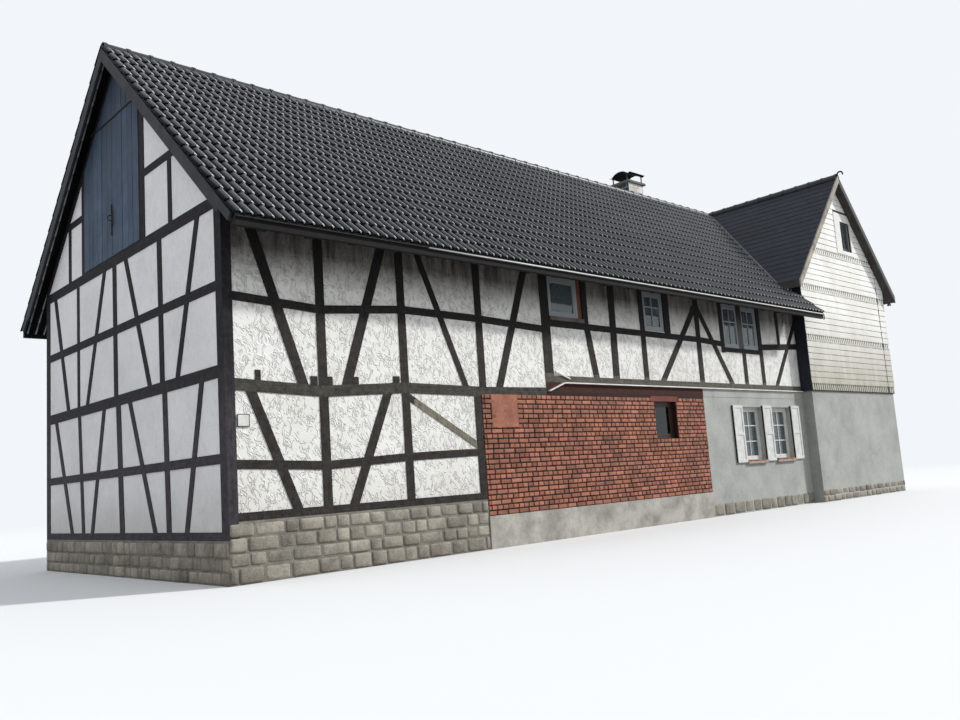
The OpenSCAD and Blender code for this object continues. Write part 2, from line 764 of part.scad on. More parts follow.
module back_timbers() {
    rect(wall_t, base_h, main_len, sill_top);
    rect(wall_t, low_rail_z - rail_h, main_len, low_rail_z);
    rect(wall_t, storey_under, main_len, storey_z);
    rect(wall_t, mid_rail_z - rail_h, main_len, mid_rail_z);
    rect(wall_t, plate_z, main_len, plate_top);
    for (i = [1:back_bays - 1]) rect(wall_t + i * back_step - post_w / 2, base_h,
        wall_t + i * back_step + post_w / 2, plate_top);
    for (z = [[sill_top, storey_under], [storey_z, plate_z]]) {
        bar([wall_t + 3 * back_toe, z[0]], [wall_t + back_toe, z[1]], brace_w);
        bar([main_len - 3 * back_toe, z[0]], [main_len - back_toe, z[1]], brace_w);
    }
    rect(back_door_x - post_w, base_h, back_door_x + back_door_w + post_w, base_h + back_door_h + rail_h);
}

module back_door_rect() rect(back_door_x, base_h, back_door_x + back_door_w, base_h + back_door_h);

module back_frame() {
    color("#3b3430") placed() front_slab(main_depth - wall_t, wall_t) difference() {
        back_timbers();
        back_door_rect();
    }
}

module back_infill() {
    color("#e8e8e4") placed() front_slab(main_depth - panel_recess - panel_t, panel_t) difference() {
        rect(wall_t, base_h, main_len, plate_top);
        back_timbers();
        back_door_rect();
    }
}

// The two leaves of the loft door, and the door in the back wall
module doors() {
    color("#4c5867") placed() {
        side_slab(0, board_t) difference() {
            loft_opening();
            rect(ridge_y + leaf_off, loft_beam_z, ridge_y + leaf_off + leaf_gap, ridge_z);
        }
        front_slab(main_depth - wall_t / 2, board_t) back_door_rect();
    }
}

// Plan of the rooms of both blocks, with the wall thickness of the main block's front, back and gable
module rooms(front_t, gable_t) {
    rect(gable_t, front_t, main_len + wing_wall_t, main_depth - front_t);
    rect(main_len + wing_wall_t, wing_y0 + wing_wall_t, wing_x1 - wing_wall_t, wing_y1 - wing_wall_t);
}

module ground_floor() {
    color("#8b8a86") placed() flat_slab(ground_floor_z - floor_t, floor_t) difference() {
        union() {
            rooms(base_t, base_t);
            rect(brick_x0, 0, main_len + wing_wall_t, main_depth / 2);
        }
        rect(brick_x0, 0, main_len + wing_wall_t, masonry_t);
    }
}

module upper_floor() {
    color("#8a6f52") placed() flat_slab(masonry_top, floor_t) rooms(wall_t, wall_t);
}

module loft_floor() {
    color("#8a6f52") placed() flat_slab(loft_floor_z - loft_floor_t, loft_floor_t) rooms(wall_t, wall_t);
}

// One rafter's side: notched on the wall plate, and cut off upright with a round lower corner
tail_y = tail_back - eave_over;
tail_mid = [tail_y + tail_r, roof_under(tail_y + tail_r) - rafter_v + tail_r / cos(main_pitch)];

module rafter_side() difference() {
    union() {
        polygon([[tail_y, tail_mid[1]], [tail_y, roof_under(tail_y)], [ridge_y, roof_under(ridge_y)],
            [ridge_y, roof_under(ridge_y) - rafter_v],
            tail_mid + tail_r * [sin(main_pitch), -cos(main_pitch)], tail_mid]);
        translate(tail_mid) circle(r = tail_r, $fn = 48);
    }
    rect(0, 0, wall_t, plate_top);
}

module rafters() for (x = [rafter_first:rafter_step:eave_x0 - rafter_w])
    side_slab(x - rafter_w / 2, rafter_w) rafter_side();

module rafters_front() {
    color("#3a322d") placed() rafters();
}

module rafters_back() {
    color("#3a322d") placed() difference() {
        translate([0, main_depth, 0]) mirror([0, 1, 0]) rafters();
        chimney_hole();
    }
}

module frame_ring(w, y0) front_slab(y0, frame_d) difference() {
    win_rect(w);
    rect(w[0] + frame_w, w[1] + frame_w, w[0] + w[2] - frame_w, w[1] + w[3] - frame_w);
}

module mullion(w, y0) front_slab(y0, frame_d) rect(w[0] + (w[2] - mullion_w) / 2, w[1] + frame_w,
    w[0] + (w[2] + mullion_w) / 2, w[1] + w[3] - frame_w);

module window_frames() {
    color("#e4e4e0") placed() {
        for (w = [win_1, win_2, win_3]) frame_ring(w, upper_reveal);
        mullion(win_3, upper_reveal);
        for (w = [win_4, win_5, win_6]) frame_ring(w, ground_reveal);
        frame_ring(win_7, wing_y0 + upper_reveal);
    }
}

module pane(w, y0, x0, x1) front_slab(y0 + (frame_d - glass_t) / 2, glass_t) rect(x0, w[1] + frame_w, x1,
    w[1] + w[3] - frame_w);

module full_pane(w, y0) pane(w, y0, w[0] + frame_w, w[0] + w[2] - frame_w);

module glass_panes() {
    color("#5b6a73") placed() {
        full_pane(win_1, upper_reveal);
        full_pane(win_2, upper_reveal);
        pane(win_3, upper_reveal, win_3[0] + frame_w, win_3[0] + (win_3[2] - mullion_w) / 2);
        pane(win_3, upper_reveal, win_3[0] + (win_3[2] + mullion_w) / 2, win_3[0] + win_3[2] - frame_w);
        for (w = [win_4, win_5, win_6]) full_pane(w, ground_reveal);
        full_pane(win_7, wing_y0 + upper_reveal);
    }
}

// Sloping sills of clay tile under the ground floor windows
module tile_sills() {
    color("#a5604a") placed() for (w = [win_4, win_5]) side_slab(w[0], w[2]) translate([0, w[1]])
        polygon([[-sill_out, -sill_t - sill_fall], [-sill_out, -sill_fall], [0, 0], [0, -sill_t]]);
}

module shutters() {
    z = win_4[1] - shutter_drop;
    color("#eeeeea") placed() for (x = [win_4[0] - shutter_w - shutter_gap, win_4[0] + win_4[2] + shutter_gap,
        win_5[0] + win_5[2] + shutter_gap]) box_at([x, -shutter_t, z], [x + shutter_w, 0, z + shutter_h]);
}

// The eave board lies under the edge of the roof, which reaches over it by its top layer
eave_board_z = roof_top(-eave_over) - 40;
eave_board_y = eave_board_t - eave_over;

// Section of the front slope from the eave to the ridge
module main_section() polygon([[-eave_over, roof_top(-eave_over)], [ridge_y, ridge_z],
    [ridge_y, ridge_z - roof_v], [eave_board_y, roof_under(eave_board_y)], [eave_board_y, eave_board_z],
    [-eave_over, eave_board_z]]);

// Section of the wing, walls and roof, that the main roof is cut back to
module wing_section() polygon([[main_len, 0], [main_len, wing_under(main_len)],
    [eave_x0, wing_under(eave_x0)], [eave_x0, wing_top(eave_x0)], [wing_ridge_x, ridge_z],
    [wing_ridge_x, 0]]);

module main_slope_front() difference() {
    side_slab(verge_x, wing_ridge_x - verge_x) main_section();
    front_slab(wing_front, wing_run) wing_section();
    box_at([main_len, -eave_over - 1, 0], [wing_ridge_x, wing_front + 1, ridge_z]);
    left_cladding();
}

module main_roof_front() {
    color("#383b42") placed() main_slope_front();
}

module main_roof_back() {
    color("#383b42") placed() difference() {
        translate([0, main_depth, 0]) mirror([0, 1, 0]) main_slope_front();
        chimney_shaft();
    }
}

module eave_boards() {
    color("#47423d") placed() front_and_back() box_at([verge_x, -eave_over, eave_board_z - eave_board_h],
        [main_len, eave_board_y, eave_board_z]);
}

// Round caps astride a ridge at u, over slopes of the given steepness
module ridge_cap(u, slope) difference() {
    translate([u, ridge_z - ridge_sink]) circle(r = ridge_r, $fn = 64);
    polygon([[u, ridge_z], [u + 2 * ridge_r, ridge_z - 2 * ridge_r * slope],
        [u - 2 * ridge_r, ridge_z - 2 * ridge_r * slope]]);
}

module ridge_tiles() {
    color("#33363c") placed() {
        side_slab(verge_x, wing_ridge_x - ridge_r - verge_x - 1) ridge_cap(ridge_y, main_slope);
        front_slab(wing_front, wing_run) ridge_cap(wing_ridge_x, wing_slope);
    }
}

// A board along a slope, from a level distance u0 to u1 off the ridge, between two depths square to the slope
module barge(u0, u1, top, bottom) {
    fall = [sin(main_pitch), cos(main_pitch)];
    foot = [u1, -u1 * main_slope];
    polygon([[u0, -u0 * main_slope - top / fall[1]], foot - top * fall, foot - bottom * fall,
        [u0, -u0 * main_slope - bottom / fall[1]]]);
}

// Half the open joint where two boards meet
mitre = 1;
barge_u1 = ridge_y + eave_over - barge_short;
barge_u = barge_u1 - barge_end_l * cos(main_pitch);

module barge_boards() {
    color("#4a4a50") placed() side_slab(verge_x - barge_t, barge_t)
        for (side = [0, 1]) translate([ridge_y, ridge_z]) mirror([side, 0]) {
            barge(mitre, barge_u, barge_drop, barge_h);
            difference() {
                barge(barge_u - barge_h, barge_u1, barge_drop, barge_end_h);
                barge(0, barge_u + 2 * mitre, 0, 2 * barge_h);
            }
        }
}

// Everything under the wing's roof, for cutting its walls to the slopes
module under_wing_roof() front_slab(wing_front, wing_run) polygon([[eave_x0, 0],
    [eave_x0, wing_under(eave_x0)], [wing_ridge_x, wing_under(wing_ridge_x)],
    [eave_x1, wing_under(eave_x1)], [eave_x1, 0]]);

module wing_ground_walls() {
    color("#c9c9c6") placed() {
        box_at([wing_x1 - wing_wall_t, wing_y0 + wing_wall_t, 0],
            [wing_x1, wing_y1 - wing_wall_t, wing_ground_h]);
        front_and_back() {
            box_at([main_len, wing_y0, 0], [wing_x1, wing_y0 + wing_wall_t, wing_ground_h]);
            box_at([main_len, wing_y0 + wing_wall_t, 0], [main_len + wing_wall_t, wall_t, wing_ground_h]);
        }
    }
}

module wing_gable_walls() {
    color("#d8d8d4") placed() difference() {
        intersection() {
            front_and_back() box_at([main_len, wing_y0, wing_ground_h],
                [wing_x1, wing_y0 + wing_wall_t, ridge_z]);
            under_wing_roof();
        }
        front_slab(wing_y0, wing_wall_t) win_rect(win_7);
    }
}

// Side walls of the wing: the whole right one, and the short left ones that also stand over the main roof
module wing_side_walls() {
    color("#d8d8d4") placed() intersection() {
        union() {
            box_at([wing_x1 - wing_wall_t, wing_y0 + wing_wall_t, wing_ground_h],
                [wing_x1, wing_y1 - wing_wall_t, ridge_z]);
            front_and_back() side_slab(main_len, wing_wall_t) polygon([[wing_y0 + wing_wall_t, wing_ground_h],
                [wall_t, wing_ground_h], [wall_t, roof_under(wall_t)], [ridge_y - wall_t,
                roof_under(ridge_y - wall_t)], [wing_y0 + wing_wall_t, ridge_z]]);
        }
        under_wing_roof();
    }
}

// Cladding of the short left walls, from the ledge up past the main roof's edge
clad_y1 = ridge_y - (ridge_z - wing_under(main_len)) / main_slope + clad_t;

module left_cladding() intersection() {
    side_slab(main_len - clad_t, clad_t) polygon([[wing_y0 - clad_t, wing_ground_h], [0, wing_ground_h],
        [0, roof_top(0)], [clad_y1, roof_top(clad_y1)], [wing_y0 - clad_t, roof_top(clad_y1)]]);
    under_wing_roof();
}

module wing_cladding() {
    color("#dededa") placed() {
        front_and_back() left_cladding();
        difference() {
            intersection() {
                union() {
                    front_and_back() box_at([main_len, wing_y0 - clad_t, wing_ground_h],
                        [wing_x1, wing_y0, ridge_z]);
                    box_at([wing_x1, wing_y0 - clad_t, wing_ground_h],
                        [wing_x1 + clad_t, wing_y1 + clad_t, ridge_z]);
                }
                under_wing_roof();
            }
            front_slab(wing_y0 - clad_t, clad_t) win_rect(win_7);
        }
    }
}

module wing_slope_section(x) polygon([[x, wing_top(x)], [wing_ridge_x, ridge_z],
    [wing_ridge_x, ridge_z - wing_roof_v], [x, wing_under(x)]]);

module main_inside() polygon([[0, 0], [0, roof_under(0)], [ridge_y, roof_under(ridge_y)],
    [main_depth, roof_under(main_depth)], [main_depth, 0]]);

module wing_roof_left() {
    color("#303339") placed() difference() {
        front_slab(wing_front, wing_run) wing_slope_section(eave_x0);
        side_slab(eave_x0 - 1, wing_ridge_x - eave_x0 + 2) main_inside();
    }
}

module wing_roof_right() {
    color("#303339") placed() front_slab(wing_front, wing_run) wing_slope_section(eave_x1);
}

// One wing barge board, down to a level distance u off the ridge, with an upright end
module wing_barge(u) {
    depth = [0, wing_barge_h / cos(wing_pitch)];
    top = [mitre, -mitre * wing_slope];
    foot = [u, -u * wing_slope];
    polygon([top, foot, foot - depth, top - depth]);
}

module wing_barge_boards() {
    color("#b5aca0") placed() front_and_back() front_slab(wing_front - barge_t, barge_t)
        translate([wing_ridge_x, ridge_z]) {
            wing_barge(eave_x1 - wing_ridge_x);
            mirror([1, 0]) wing_barge(wing_ridge_x - eave_x0);
        }
}

chimney_x1 = main_len - chimney_off;
chimney_x0 = chimney_x1 - chimney_w;
chimney_y0 = ridge_y + chimney_gap;
chimney_y1 = chimney_y0 + chimney_d;
chimney_top = ridge_z + chimney_rise;
cap_top = chimney_top + cap_t;
rafter_clear = 30;

module chimney_shaft() box_at([chimney_x0, chimney_y0, loft_floor_z], [chimney_x1, chimney_y1, chimney_top]);

// The hole in the rafters, which are kept clear of the chimney
module chimney_hole() box_at([chimney_x0 - rafter_clear, chimney_y0 - rafter_clear, loft_floor_z],
    [chimney_x1 + rafter_clear, chimney_y1 + rafter_clear, chimney_top]);

module chimney() {
    color("#a9a59c") placed() chimney_shaft();
}

module chimney_cap() {
    color("#77756f") placed() box_at([chimney_x0 - cap_out, chimney_y0 - cap_out, chimney_top],
        [chimney_x1 + cap_out, chimney_y1 + cap_out, cap_top]);
}

// Arched metal sheet with edges turned up, on four legs that stand on the cap
cowl_x0 = (chimney_x0 + chimney_x1 - cowl_l) / 2;
cowl_y = (chimney_y0 + chimney_y1) / 2;
cowl_z = cap_top + cowl_leg_h;
cowl_half = sqrt(cowl_r * cowl_r - (cowl_r - cowl_rise) * (cowl_r - cowl_rise));
leg_y = cowl_half - 2 * cowl_leg_w;

module cowl_disc(inset) translate([0, cowl_rise - cowl_r]) circle(r = cowl_r - inset, $fn = 128);

module cowl_section() {
    intersection() {
        difference() {
            cowl_disc(0);
            cowl_disc(cowl_t);
        }
        rect(-cowl_half, 0, cowl_half, cowl_rise);
    }
    for (side = [0, 1]) mirror([side, 0]) polygon([[cowl_half - 2 * cowl_t, 0], [cowl_half, 0],
        [cowl_half + cowl_lip_out, cowl_lip_up], [cowl_half + cowl_lip_out, cowl_lip_up + cowl_t],
        [cowl_half - cowl_t, cowl_t]]);
}

module leg_section() intersection() {
    for (side = [-1, 1]) translate([side * leg_y - cowl_leg_w / 2, -cowl_leg_h])
        square([cowl_leg_w, cowl_leg_h + cowl_rise]);
    union() {
        cowl_disc(cowl_t / 2);
        rect(-cowl_half, -cowl_leg_h, cowl_half, 0);
    }
}

module chimney_cowl() {
    color("#3a3b3c") placed() translate([cowl_x0, cowl_y, cowl_z]) {
        side_slab(0, cowl_l) cowl_section();
        for (x = [0, cowl_l - cowl_leg_w]) side_slab(x, cowl_leg_w) leg_section();
    }
}

base_walls();
brick_plinth();
ground_floor();
front_frame_lower();
front_infill_lower();
storey_beams();
front_frame_upper();
front_infill_upper();
brick_wall();
brick_lintel();
rendered_wall();
metal_strips();
gable_frame();
gable_infill();
loft_frame();
loft_infill();
doors();
gable_boards();
back_frame();
back_infill();
upper_floor();
loft_floor();
rafters_front();
rafters_back();
window_frames();
glass_panes();
jamb_board();
sill_board();
tile_sills();
shutters();
main_roof_front();
main_roof_back();
ridge_tiles();
barge_boards();
eave_boards();
wing_ground_walls();
wing_gable_walls();
wing_side_walls();
wing_cladding();
wing_roof_left();
wing_roof_right();
wing_barge_boards();
chimney();
chimney_cap();
chimney_cowl();
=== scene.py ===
# %% [markdown]
# # Dressing a half timbered farmhouse
# The CAD model gives the house its walls, timbers, roofs, doors and window frames in exact places.
# This script loads that model as a fixed frame and adds what a builder would add last: tiles, slates,
# bricks, stones, boards and window bars, each modelled once and laid many times, and a procedural
# finish for every surface. Nothing of the frame is moved.

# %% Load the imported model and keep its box
import math
import random

import bpy
import numpy as np
from mathutils import Matrix, Vector


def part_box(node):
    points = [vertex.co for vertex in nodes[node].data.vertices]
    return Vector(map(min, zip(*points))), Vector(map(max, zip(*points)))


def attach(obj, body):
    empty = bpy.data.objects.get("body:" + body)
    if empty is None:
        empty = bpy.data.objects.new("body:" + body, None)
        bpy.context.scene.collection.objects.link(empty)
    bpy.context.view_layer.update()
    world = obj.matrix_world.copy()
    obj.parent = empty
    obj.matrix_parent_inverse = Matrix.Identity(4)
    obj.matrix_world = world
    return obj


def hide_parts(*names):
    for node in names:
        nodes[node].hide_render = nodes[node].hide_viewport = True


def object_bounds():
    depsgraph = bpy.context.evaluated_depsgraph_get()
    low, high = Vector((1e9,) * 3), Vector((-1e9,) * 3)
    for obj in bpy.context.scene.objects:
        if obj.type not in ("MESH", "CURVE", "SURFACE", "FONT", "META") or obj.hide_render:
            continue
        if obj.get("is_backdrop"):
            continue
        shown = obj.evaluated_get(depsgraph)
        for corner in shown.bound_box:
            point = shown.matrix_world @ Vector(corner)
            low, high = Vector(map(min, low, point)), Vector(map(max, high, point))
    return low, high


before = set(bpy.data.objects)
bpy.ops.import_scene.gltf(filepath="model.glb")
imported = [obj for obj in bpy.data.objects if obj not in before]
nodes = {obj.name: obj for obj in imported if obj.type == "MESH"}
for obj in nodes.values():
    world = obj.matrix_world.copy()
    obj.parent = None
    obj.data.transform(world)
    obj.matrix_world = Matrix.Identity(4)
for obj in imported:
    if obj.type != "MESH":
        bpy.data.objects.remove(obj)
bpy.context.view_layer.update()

# %% [markdown]
# ## One corner to measure from
# A builder measures from a corner. Here it is the front left corner of the stone base at ground level,
# where the timber gable meets the long front. Sizes below are in millimetres from that corner: x along
# the front, y to the back, z up. They are the CAD model's own sizes.

# %% The corner, the roof slopes and the levels
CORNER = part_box("base_walls")[0]
RIDGE_Y, RIDGE_Z = 3565, 8650.2
WING_RIDGE_X = 17915
MAIN_EAVE_Y, MAIN_VERGE_X = -780, -195
WING_EAVE_LEFT, WING_EAVE_RIGHT = 15040, 20710
WING_VERGE_FRONT, WING_VERGE_BACK = -490, 7620
MAIN_PITCH, WING_PITCH = math.radians(43), math.radians(48)


def house(x, y, z):
    """A point in millimetres from the corner, in the frame's metres"""
    return CORNER + Vector((x, y, z)) / 1000


def main_roof_z(y):
    """Height of the main roof's top at a distance from the front"""
    return RIDGE_Z - abs(y - RIDGE_Y) * math.tan(MAIN_PITCH)


def wing_roof_z(x):
    """Height of the wing roof's top at a distance along the front"""
    return RIDGE_Z - abs(x - WING_RIDGE_X) * math.tan(WING_PITCH)


print("main eave at", round(main_roof_z(MAIN_EAVE_Y)), "mm")
print("wing eave at", round(wing_roof_z(WING_EAVE_LEFT)), "mm")

# %% [markdown]
# ## The camera first
# The photograph was taken from the road, a little over a metre above the ground, looking up slightly
# at the corner between gable and front. The camera's place, turn and lens were solved from the straight
# edges of the house, so the same edges fall on the same pixels.

# %% Camera at the photograph's viewpoint
CAMERA_AT = (-15.523, -13.976, 1.1186)
YAW, PITCH, ROLL = (math.radians(v) for v in (43.340, 7.738, -3.917))
SENSOR_MM, LENS_MM, VIEW_END = 36, 32.853, 400

look = Vector((math.sin(YAW) * math.cos(PITCH), math.cos(YAW) * math.cos(PITCH), math.sin(PITCH)))
level_right = Vector((math.cos(YAW), -math.sin(YAW), 0))
level_up = level_right.cross(look)
right = math.cos(ROLL) * level_right + math.sin(ROLL) * level_up
above = -math.sin(ROLL) * level_right + math.cos(ROLL) * level_up
turn = Matrix((right, above, -look)).transposed().to_4x4()
bpy.ops.object.camera_add()
camera = bpy.context.object
camera.name = "roadside_camera"
camera.matrix_world = Matrix.Translation(CAMERA_AT) @ turn
camera.data.sensor_width, camera.data.lens = SENSOR_MM, LENS_MM
camera.data.clip_end = VIEW_END
bpy.context.scene.camera = camera
print("lens", round(camera.data.lens, 1), "mm at", [round(v, 2) for v in camera.location])

# %% [markdown]
# ## Helpers that stand in for the hands
# An operator works on all that is selected, so the first helper takes one piece alone in hand.
# The others pick vertices by their place and use one edit mode tool on them, cut a piece along a
# plane as a tiler does at a valley, settle a finished piece with its origin at the world's origin,
# and lay copies of one model, each with its own small shade.

# %% Take, rework, trim and settle a piece


def take(piece):
    """Selects one piece alone and makes it active"""
    bpy.ops.object.select_all(action="DESELECT")
    piece.select_set(True)
    bpy.context.view_layer.objects.active = piece


def rework(piece, test, tool, **settings):
    """In edit mode, picks the vertices that pass the test and uses one tool on them"""
    take(piece)
    bpy.ops.object.mode_set(mode="EDIT")
    bpy.ops.mesh.select_mode(type="VERT")
    bpy.ops.mesh.select_all(action="DESELECT")
    bpy.ops.object.mode_set(mode="OBJECT")
    for vertex in piece.data.vertices:
        vertex.select = bool(test(vertex.co))
    bpy.ops.object.mode_set(mode="EDIT")
    tool(**settings)
    bpy.ops.object.mode_set(mode="OBJECT")


def trim(piece, point, outward):
    """Cuts a piece along a plane, takes off the outward side and closes the cut"""
    rework(piece, lambda co: True, bpy.ops.mesh.bisect, plane_co=point, plane_no=Vector(outward).normalized(),
           use_fill=True, clear_outer=True)


def finish_with(piece, kind, **settings):
    """Adds one modifier, sets it and applies it"""
    take(piece)
    modifier = piece.modifiers.new(kind.lower(), kind)
    for name, value in settings.items():
        setattr(modifier, name, value)
    bpy.ops.object.modifier_apply(modifier=modifier.name)


def settle(piece):
    """Puts the piece's place, turn and size into its mesh"""
    take(piece)
    bpy.ops.object.transform_apply(location=True, rotation=True, scale=True)
    return piece


def wear(piece, name, material):
    """Names a finished piece, gives it its material, and lets it ride with the house"""
    piece.name = piece.data.name = name
    piece.data.materials.clear()
    piece.data.materials.append(material)
    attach(piece, "root")
    print(name, len(piece.data.polygons), "faces")
    return piece


# %% A block with eased edges, and laying copies


def block(low, high, ease=0.004):
    """A sawn or cast block between two corners, in metres, its edges eased so that they catch light"""
    low, high = Vector(low), Vector(high)
    bpy.ops.mesh.primitive_cube_add(size=1, location=(low + high) / 2)
    piece = bpy.context.object
    piece.scale = high - low
    settle(piece)
    if ease:
        finish_with(piece, "BEVEL", width=ease, segments=1)
    return piece


def bar_between(low, high, ease=4):
    """The same between two corners in millimetres from the house corner"""
    return block(house(*low), house(*high), ease / 1000)


def join(pieces):
    """Joins pieces into the first one"""
    take(pieces[0])
    for piece in pieces:
        piece.select_set(True)
    bpy.ops.object.join()
    return pieces[0]


def lay_copies(model, places, shades):
    """One mesh with a copy of the model at each place; the model is used up

    Each copy has its own shade, from -0.5 to 0.5. Each point knows how far along the model's length it
    lies, from 0 to 1, and its rise from the model's back to its face.
    """
    mesh = model.data
    points = np.empty(len(mesh.vertices) * 3)
    mesh.vertices.foreach_get("co", points)
    points = np.c_[points.reshape(-1, 3), np.ones(len(mesh.vertices))]
    corners = np.empty(len(mesh.loops), int)
    mesh.loops.foreach_get("vertex_index", corners)
    starts, sizes = np.empty(len(mesh.polygons), int), np.empty(len(mesh.polygons), int)
    mesh.polygons.foreach_get("loop_start", starts)
    mesh.polygons.foreach_get("loop_total", sizes)
    number = len(places)
    steps = np.arange(number)[:, None]
    laid = bpy.data.meshes.new("laid")
    laid.vertices.add(number * len(points))
    laid.vertices.foreach_set("co", np.concatenate([(points @ np.array(p).T)[:, :3] for p in places]).ravel())
    laid.loops.add(number * len(corners))
    laid.loops.foreach_set("vertex_index", (corners + steps * len(points)).ravel())
    laid.polygons.add(number * len(starts))
    laid.polygons.foreach_set("loop_start", (starts + steps * len(corners)).ravel())
    laid.polygons.foreach_set("loop_total", np.tile(sizes, number))
    tone = laid.attributes.new("tone", "FLOAT", "POINT")
    tone.data.foreach_set("value", np.repeat(np.array(shades, np.float32), len(points)))
    for name, axis in (("along", 1), ("rise", 2)):
        span = points[:, axis]
        share = laid.attributes.new(name, "FLOAT", "POINT")
        share.data.foreach_set("value", np.tile((span - span.min()) / np.ptp(span), number).astype(np.float32))
    laid.update(calc_edges=True)
    laid.validate()
    laid.shade_flat()
    piece = bpy.data.objects.new("laid", laid)
    bpy.context.scene.collection.objects.link(piece)
    bpy.data.objects.remove(model)
    return piece


def round_off(piece, degrees):
    """Smooth shading except over edges sharper than the angle"""
    take(piece)
    bpy.ops.object.shade_smooth_by_angle(angle=math.radians(degrees))


def slope_frame(origin, along, normal):
    """A place whose x runs along a course, y up the slope and z out of the surface"""
    along, normal = Vector(along).normalized(), Vector(normal).normalized()
    up = normal.cross(along)
    frame_turn = Matrix((along, up, normal)).transposed().to_4x4()
    return Matrix.Translation(origin) @ frame_turn


# %% [markdown]
# ## How the finishes are mixed
# Every material starts from the same few steps: a colour written as a hex value, one function that adds
# a node, and a recipe for weathered surfaces. The recipe lets the colour drift from fresh to worn in
# patches of a stated size, stretches a fine grain as the stuff was worked, and turns the grain into
# relief. Patterns read object coordinates in metres, so millimetres can be used for all of them.

# %% A colour, a node and an empty finish


def linear(hex_colour):
    """An sRGB hex colour as the linear values the shader wants"""
    parts = [int(hex_colour[i:i + 2], 16) / 255 for i in (1, 3, 5)]
    return [p / 12.92 if p <= 0.04045 else ((p + 0.055) / 1.055) ** 2.4 for p in parts] + [1.0]


def add(tree, kind, links, **settings):
    """Adds one node; a socket in links is joined, a hex colour is converted, any other value is set"""
    node = tree.nodes.new(kind)
    stops = settings.pop("stops", None)
    for name, value in settings.items():
        setattr(node, name, value)
    for socket, value in links.items():
        if isinstance(value, bpy.types.NodeSocket):
            tree.links.new(value, node.inputs[socket])
        else:
            node.inputs[socket].default_value = linear(value) if isinstance(value, str) else value
    if stops:
        ramp = node.color_ramp.elements
        while len(ramp) < len(stops):
            ramp.new(1.0)
        for element, (position, colour) in zip(ramp, stops):
            element.position = position
            element.color = linear(colour) if isinstance(colour, str) else (colour, colour, colour, 1)
    return node


def start_finish(name, rough, metal=0.0, shine=0.5):
    """A new material with its shader and the object coordinates that its patterns read

    Shine is the share of mirror light: 0.5 for a closed surface, less for porous and dusty stuff.
    """
    material = bpy.data.materials.new(name)
    material.use_nodes = True
    tree = material.node_tree
    shader = tree.nodes["Principled BSDF"]
    shader.inputs["Roughness"].default_value = rough
    shader.inputs["Metallic"].default_value = metal
    shader.inputs["Specular IOR Level"].default_value = shine
    return material, tree, shader, add(tree, "ShaderNodeTexCoord", {}).outputs["Object"]


# %% Marks and stains


def marked(tree, place, clean, colour, across, upright, fade=0):
    """Gives an area of the walls another colour

    Its limits along x and z are in mm from the corner. Its right end may fade out over a length.
    """
    parts = add(tree, "ShaderNodeSeparateXYZ", {"Vector": place})
    across = [CORNER.x + v / 1000 for v in across]
    upright = [v / 1000 for v in upright]
    masks = []
    for axis, (low, high) in (("X", across), ("Z", upright)):
        masks.append(add(tree, "ShaderNodeMath", {0: parts.outputs[axis], 1: (low + high) / 2, 2: (high - low) / 2},
                         operation="COMPARE").outputs[0])
    if fade:
        masks.append(add(tree, "ShaderNodeMapRange", {
            "Value": parts.outputs["X"], "From Min": across[1] - fade / 1000, "From Max": across[1],
            "To Min": 1.0, "To Max": 0.0}).outputs[0])
    mask = masks[0]
    for other in masks[1:]:
        mask = add(tree, "ShaderNodeMath", {0: mask, 1: other}, operation="MULTIPLY").outputs[0]
    return add(tree, "ShaderNodeMix", {0: mask, 6: clean, 7: colour}, data_type="RGBA").outputs[2]


STREAK_RUN = (6, 6, 0.9)
WEAKEST_STREAK = 0.7


def stained(tree, place, clean, colour, start, full, most=1.0):
    """Runs a stain into a colour, from none at a height in metres to most at the one where it is full"""
    height = add(tree, "ShaderNodeSeparateXYZ", {"Vector": place}).outputs["Z"]
    reach = add(tree, "ShaderNodeMapRange", {"Value": height, "From Min": start, "From Max": full})
    run = add(tree, "ShaderNodeMapping", {"Vector": place, "Scale": STREAK_RUN})
    streaks = add(tree, "ShaderNodeTexNoise", {"Vector": run.outputs[0], "Scale": 1.0, "Detail": 6.0,
                                               "Roughness": 0.65})
    share = add(tree, "ShaderNodeMapRange", {"Value": streaks.outputs["Fac"], "From Min": 0.3, "From Max": 0.65,
                                             "To Min": most * WEAKEST_STREAK, "To Max": most})
    soaked = add(tree, "ShaderNodeMath", {0: reach.outputs[0], 1: share.outputs[0]}, operation="MULTIPLY")
    return add(tree, "ShaderNodeMix", {0: soaked.outputs[0], 6: clean, 7: colour}, data_type="RGBA").outputs[2]


# %% The recipe for weathered surfaces


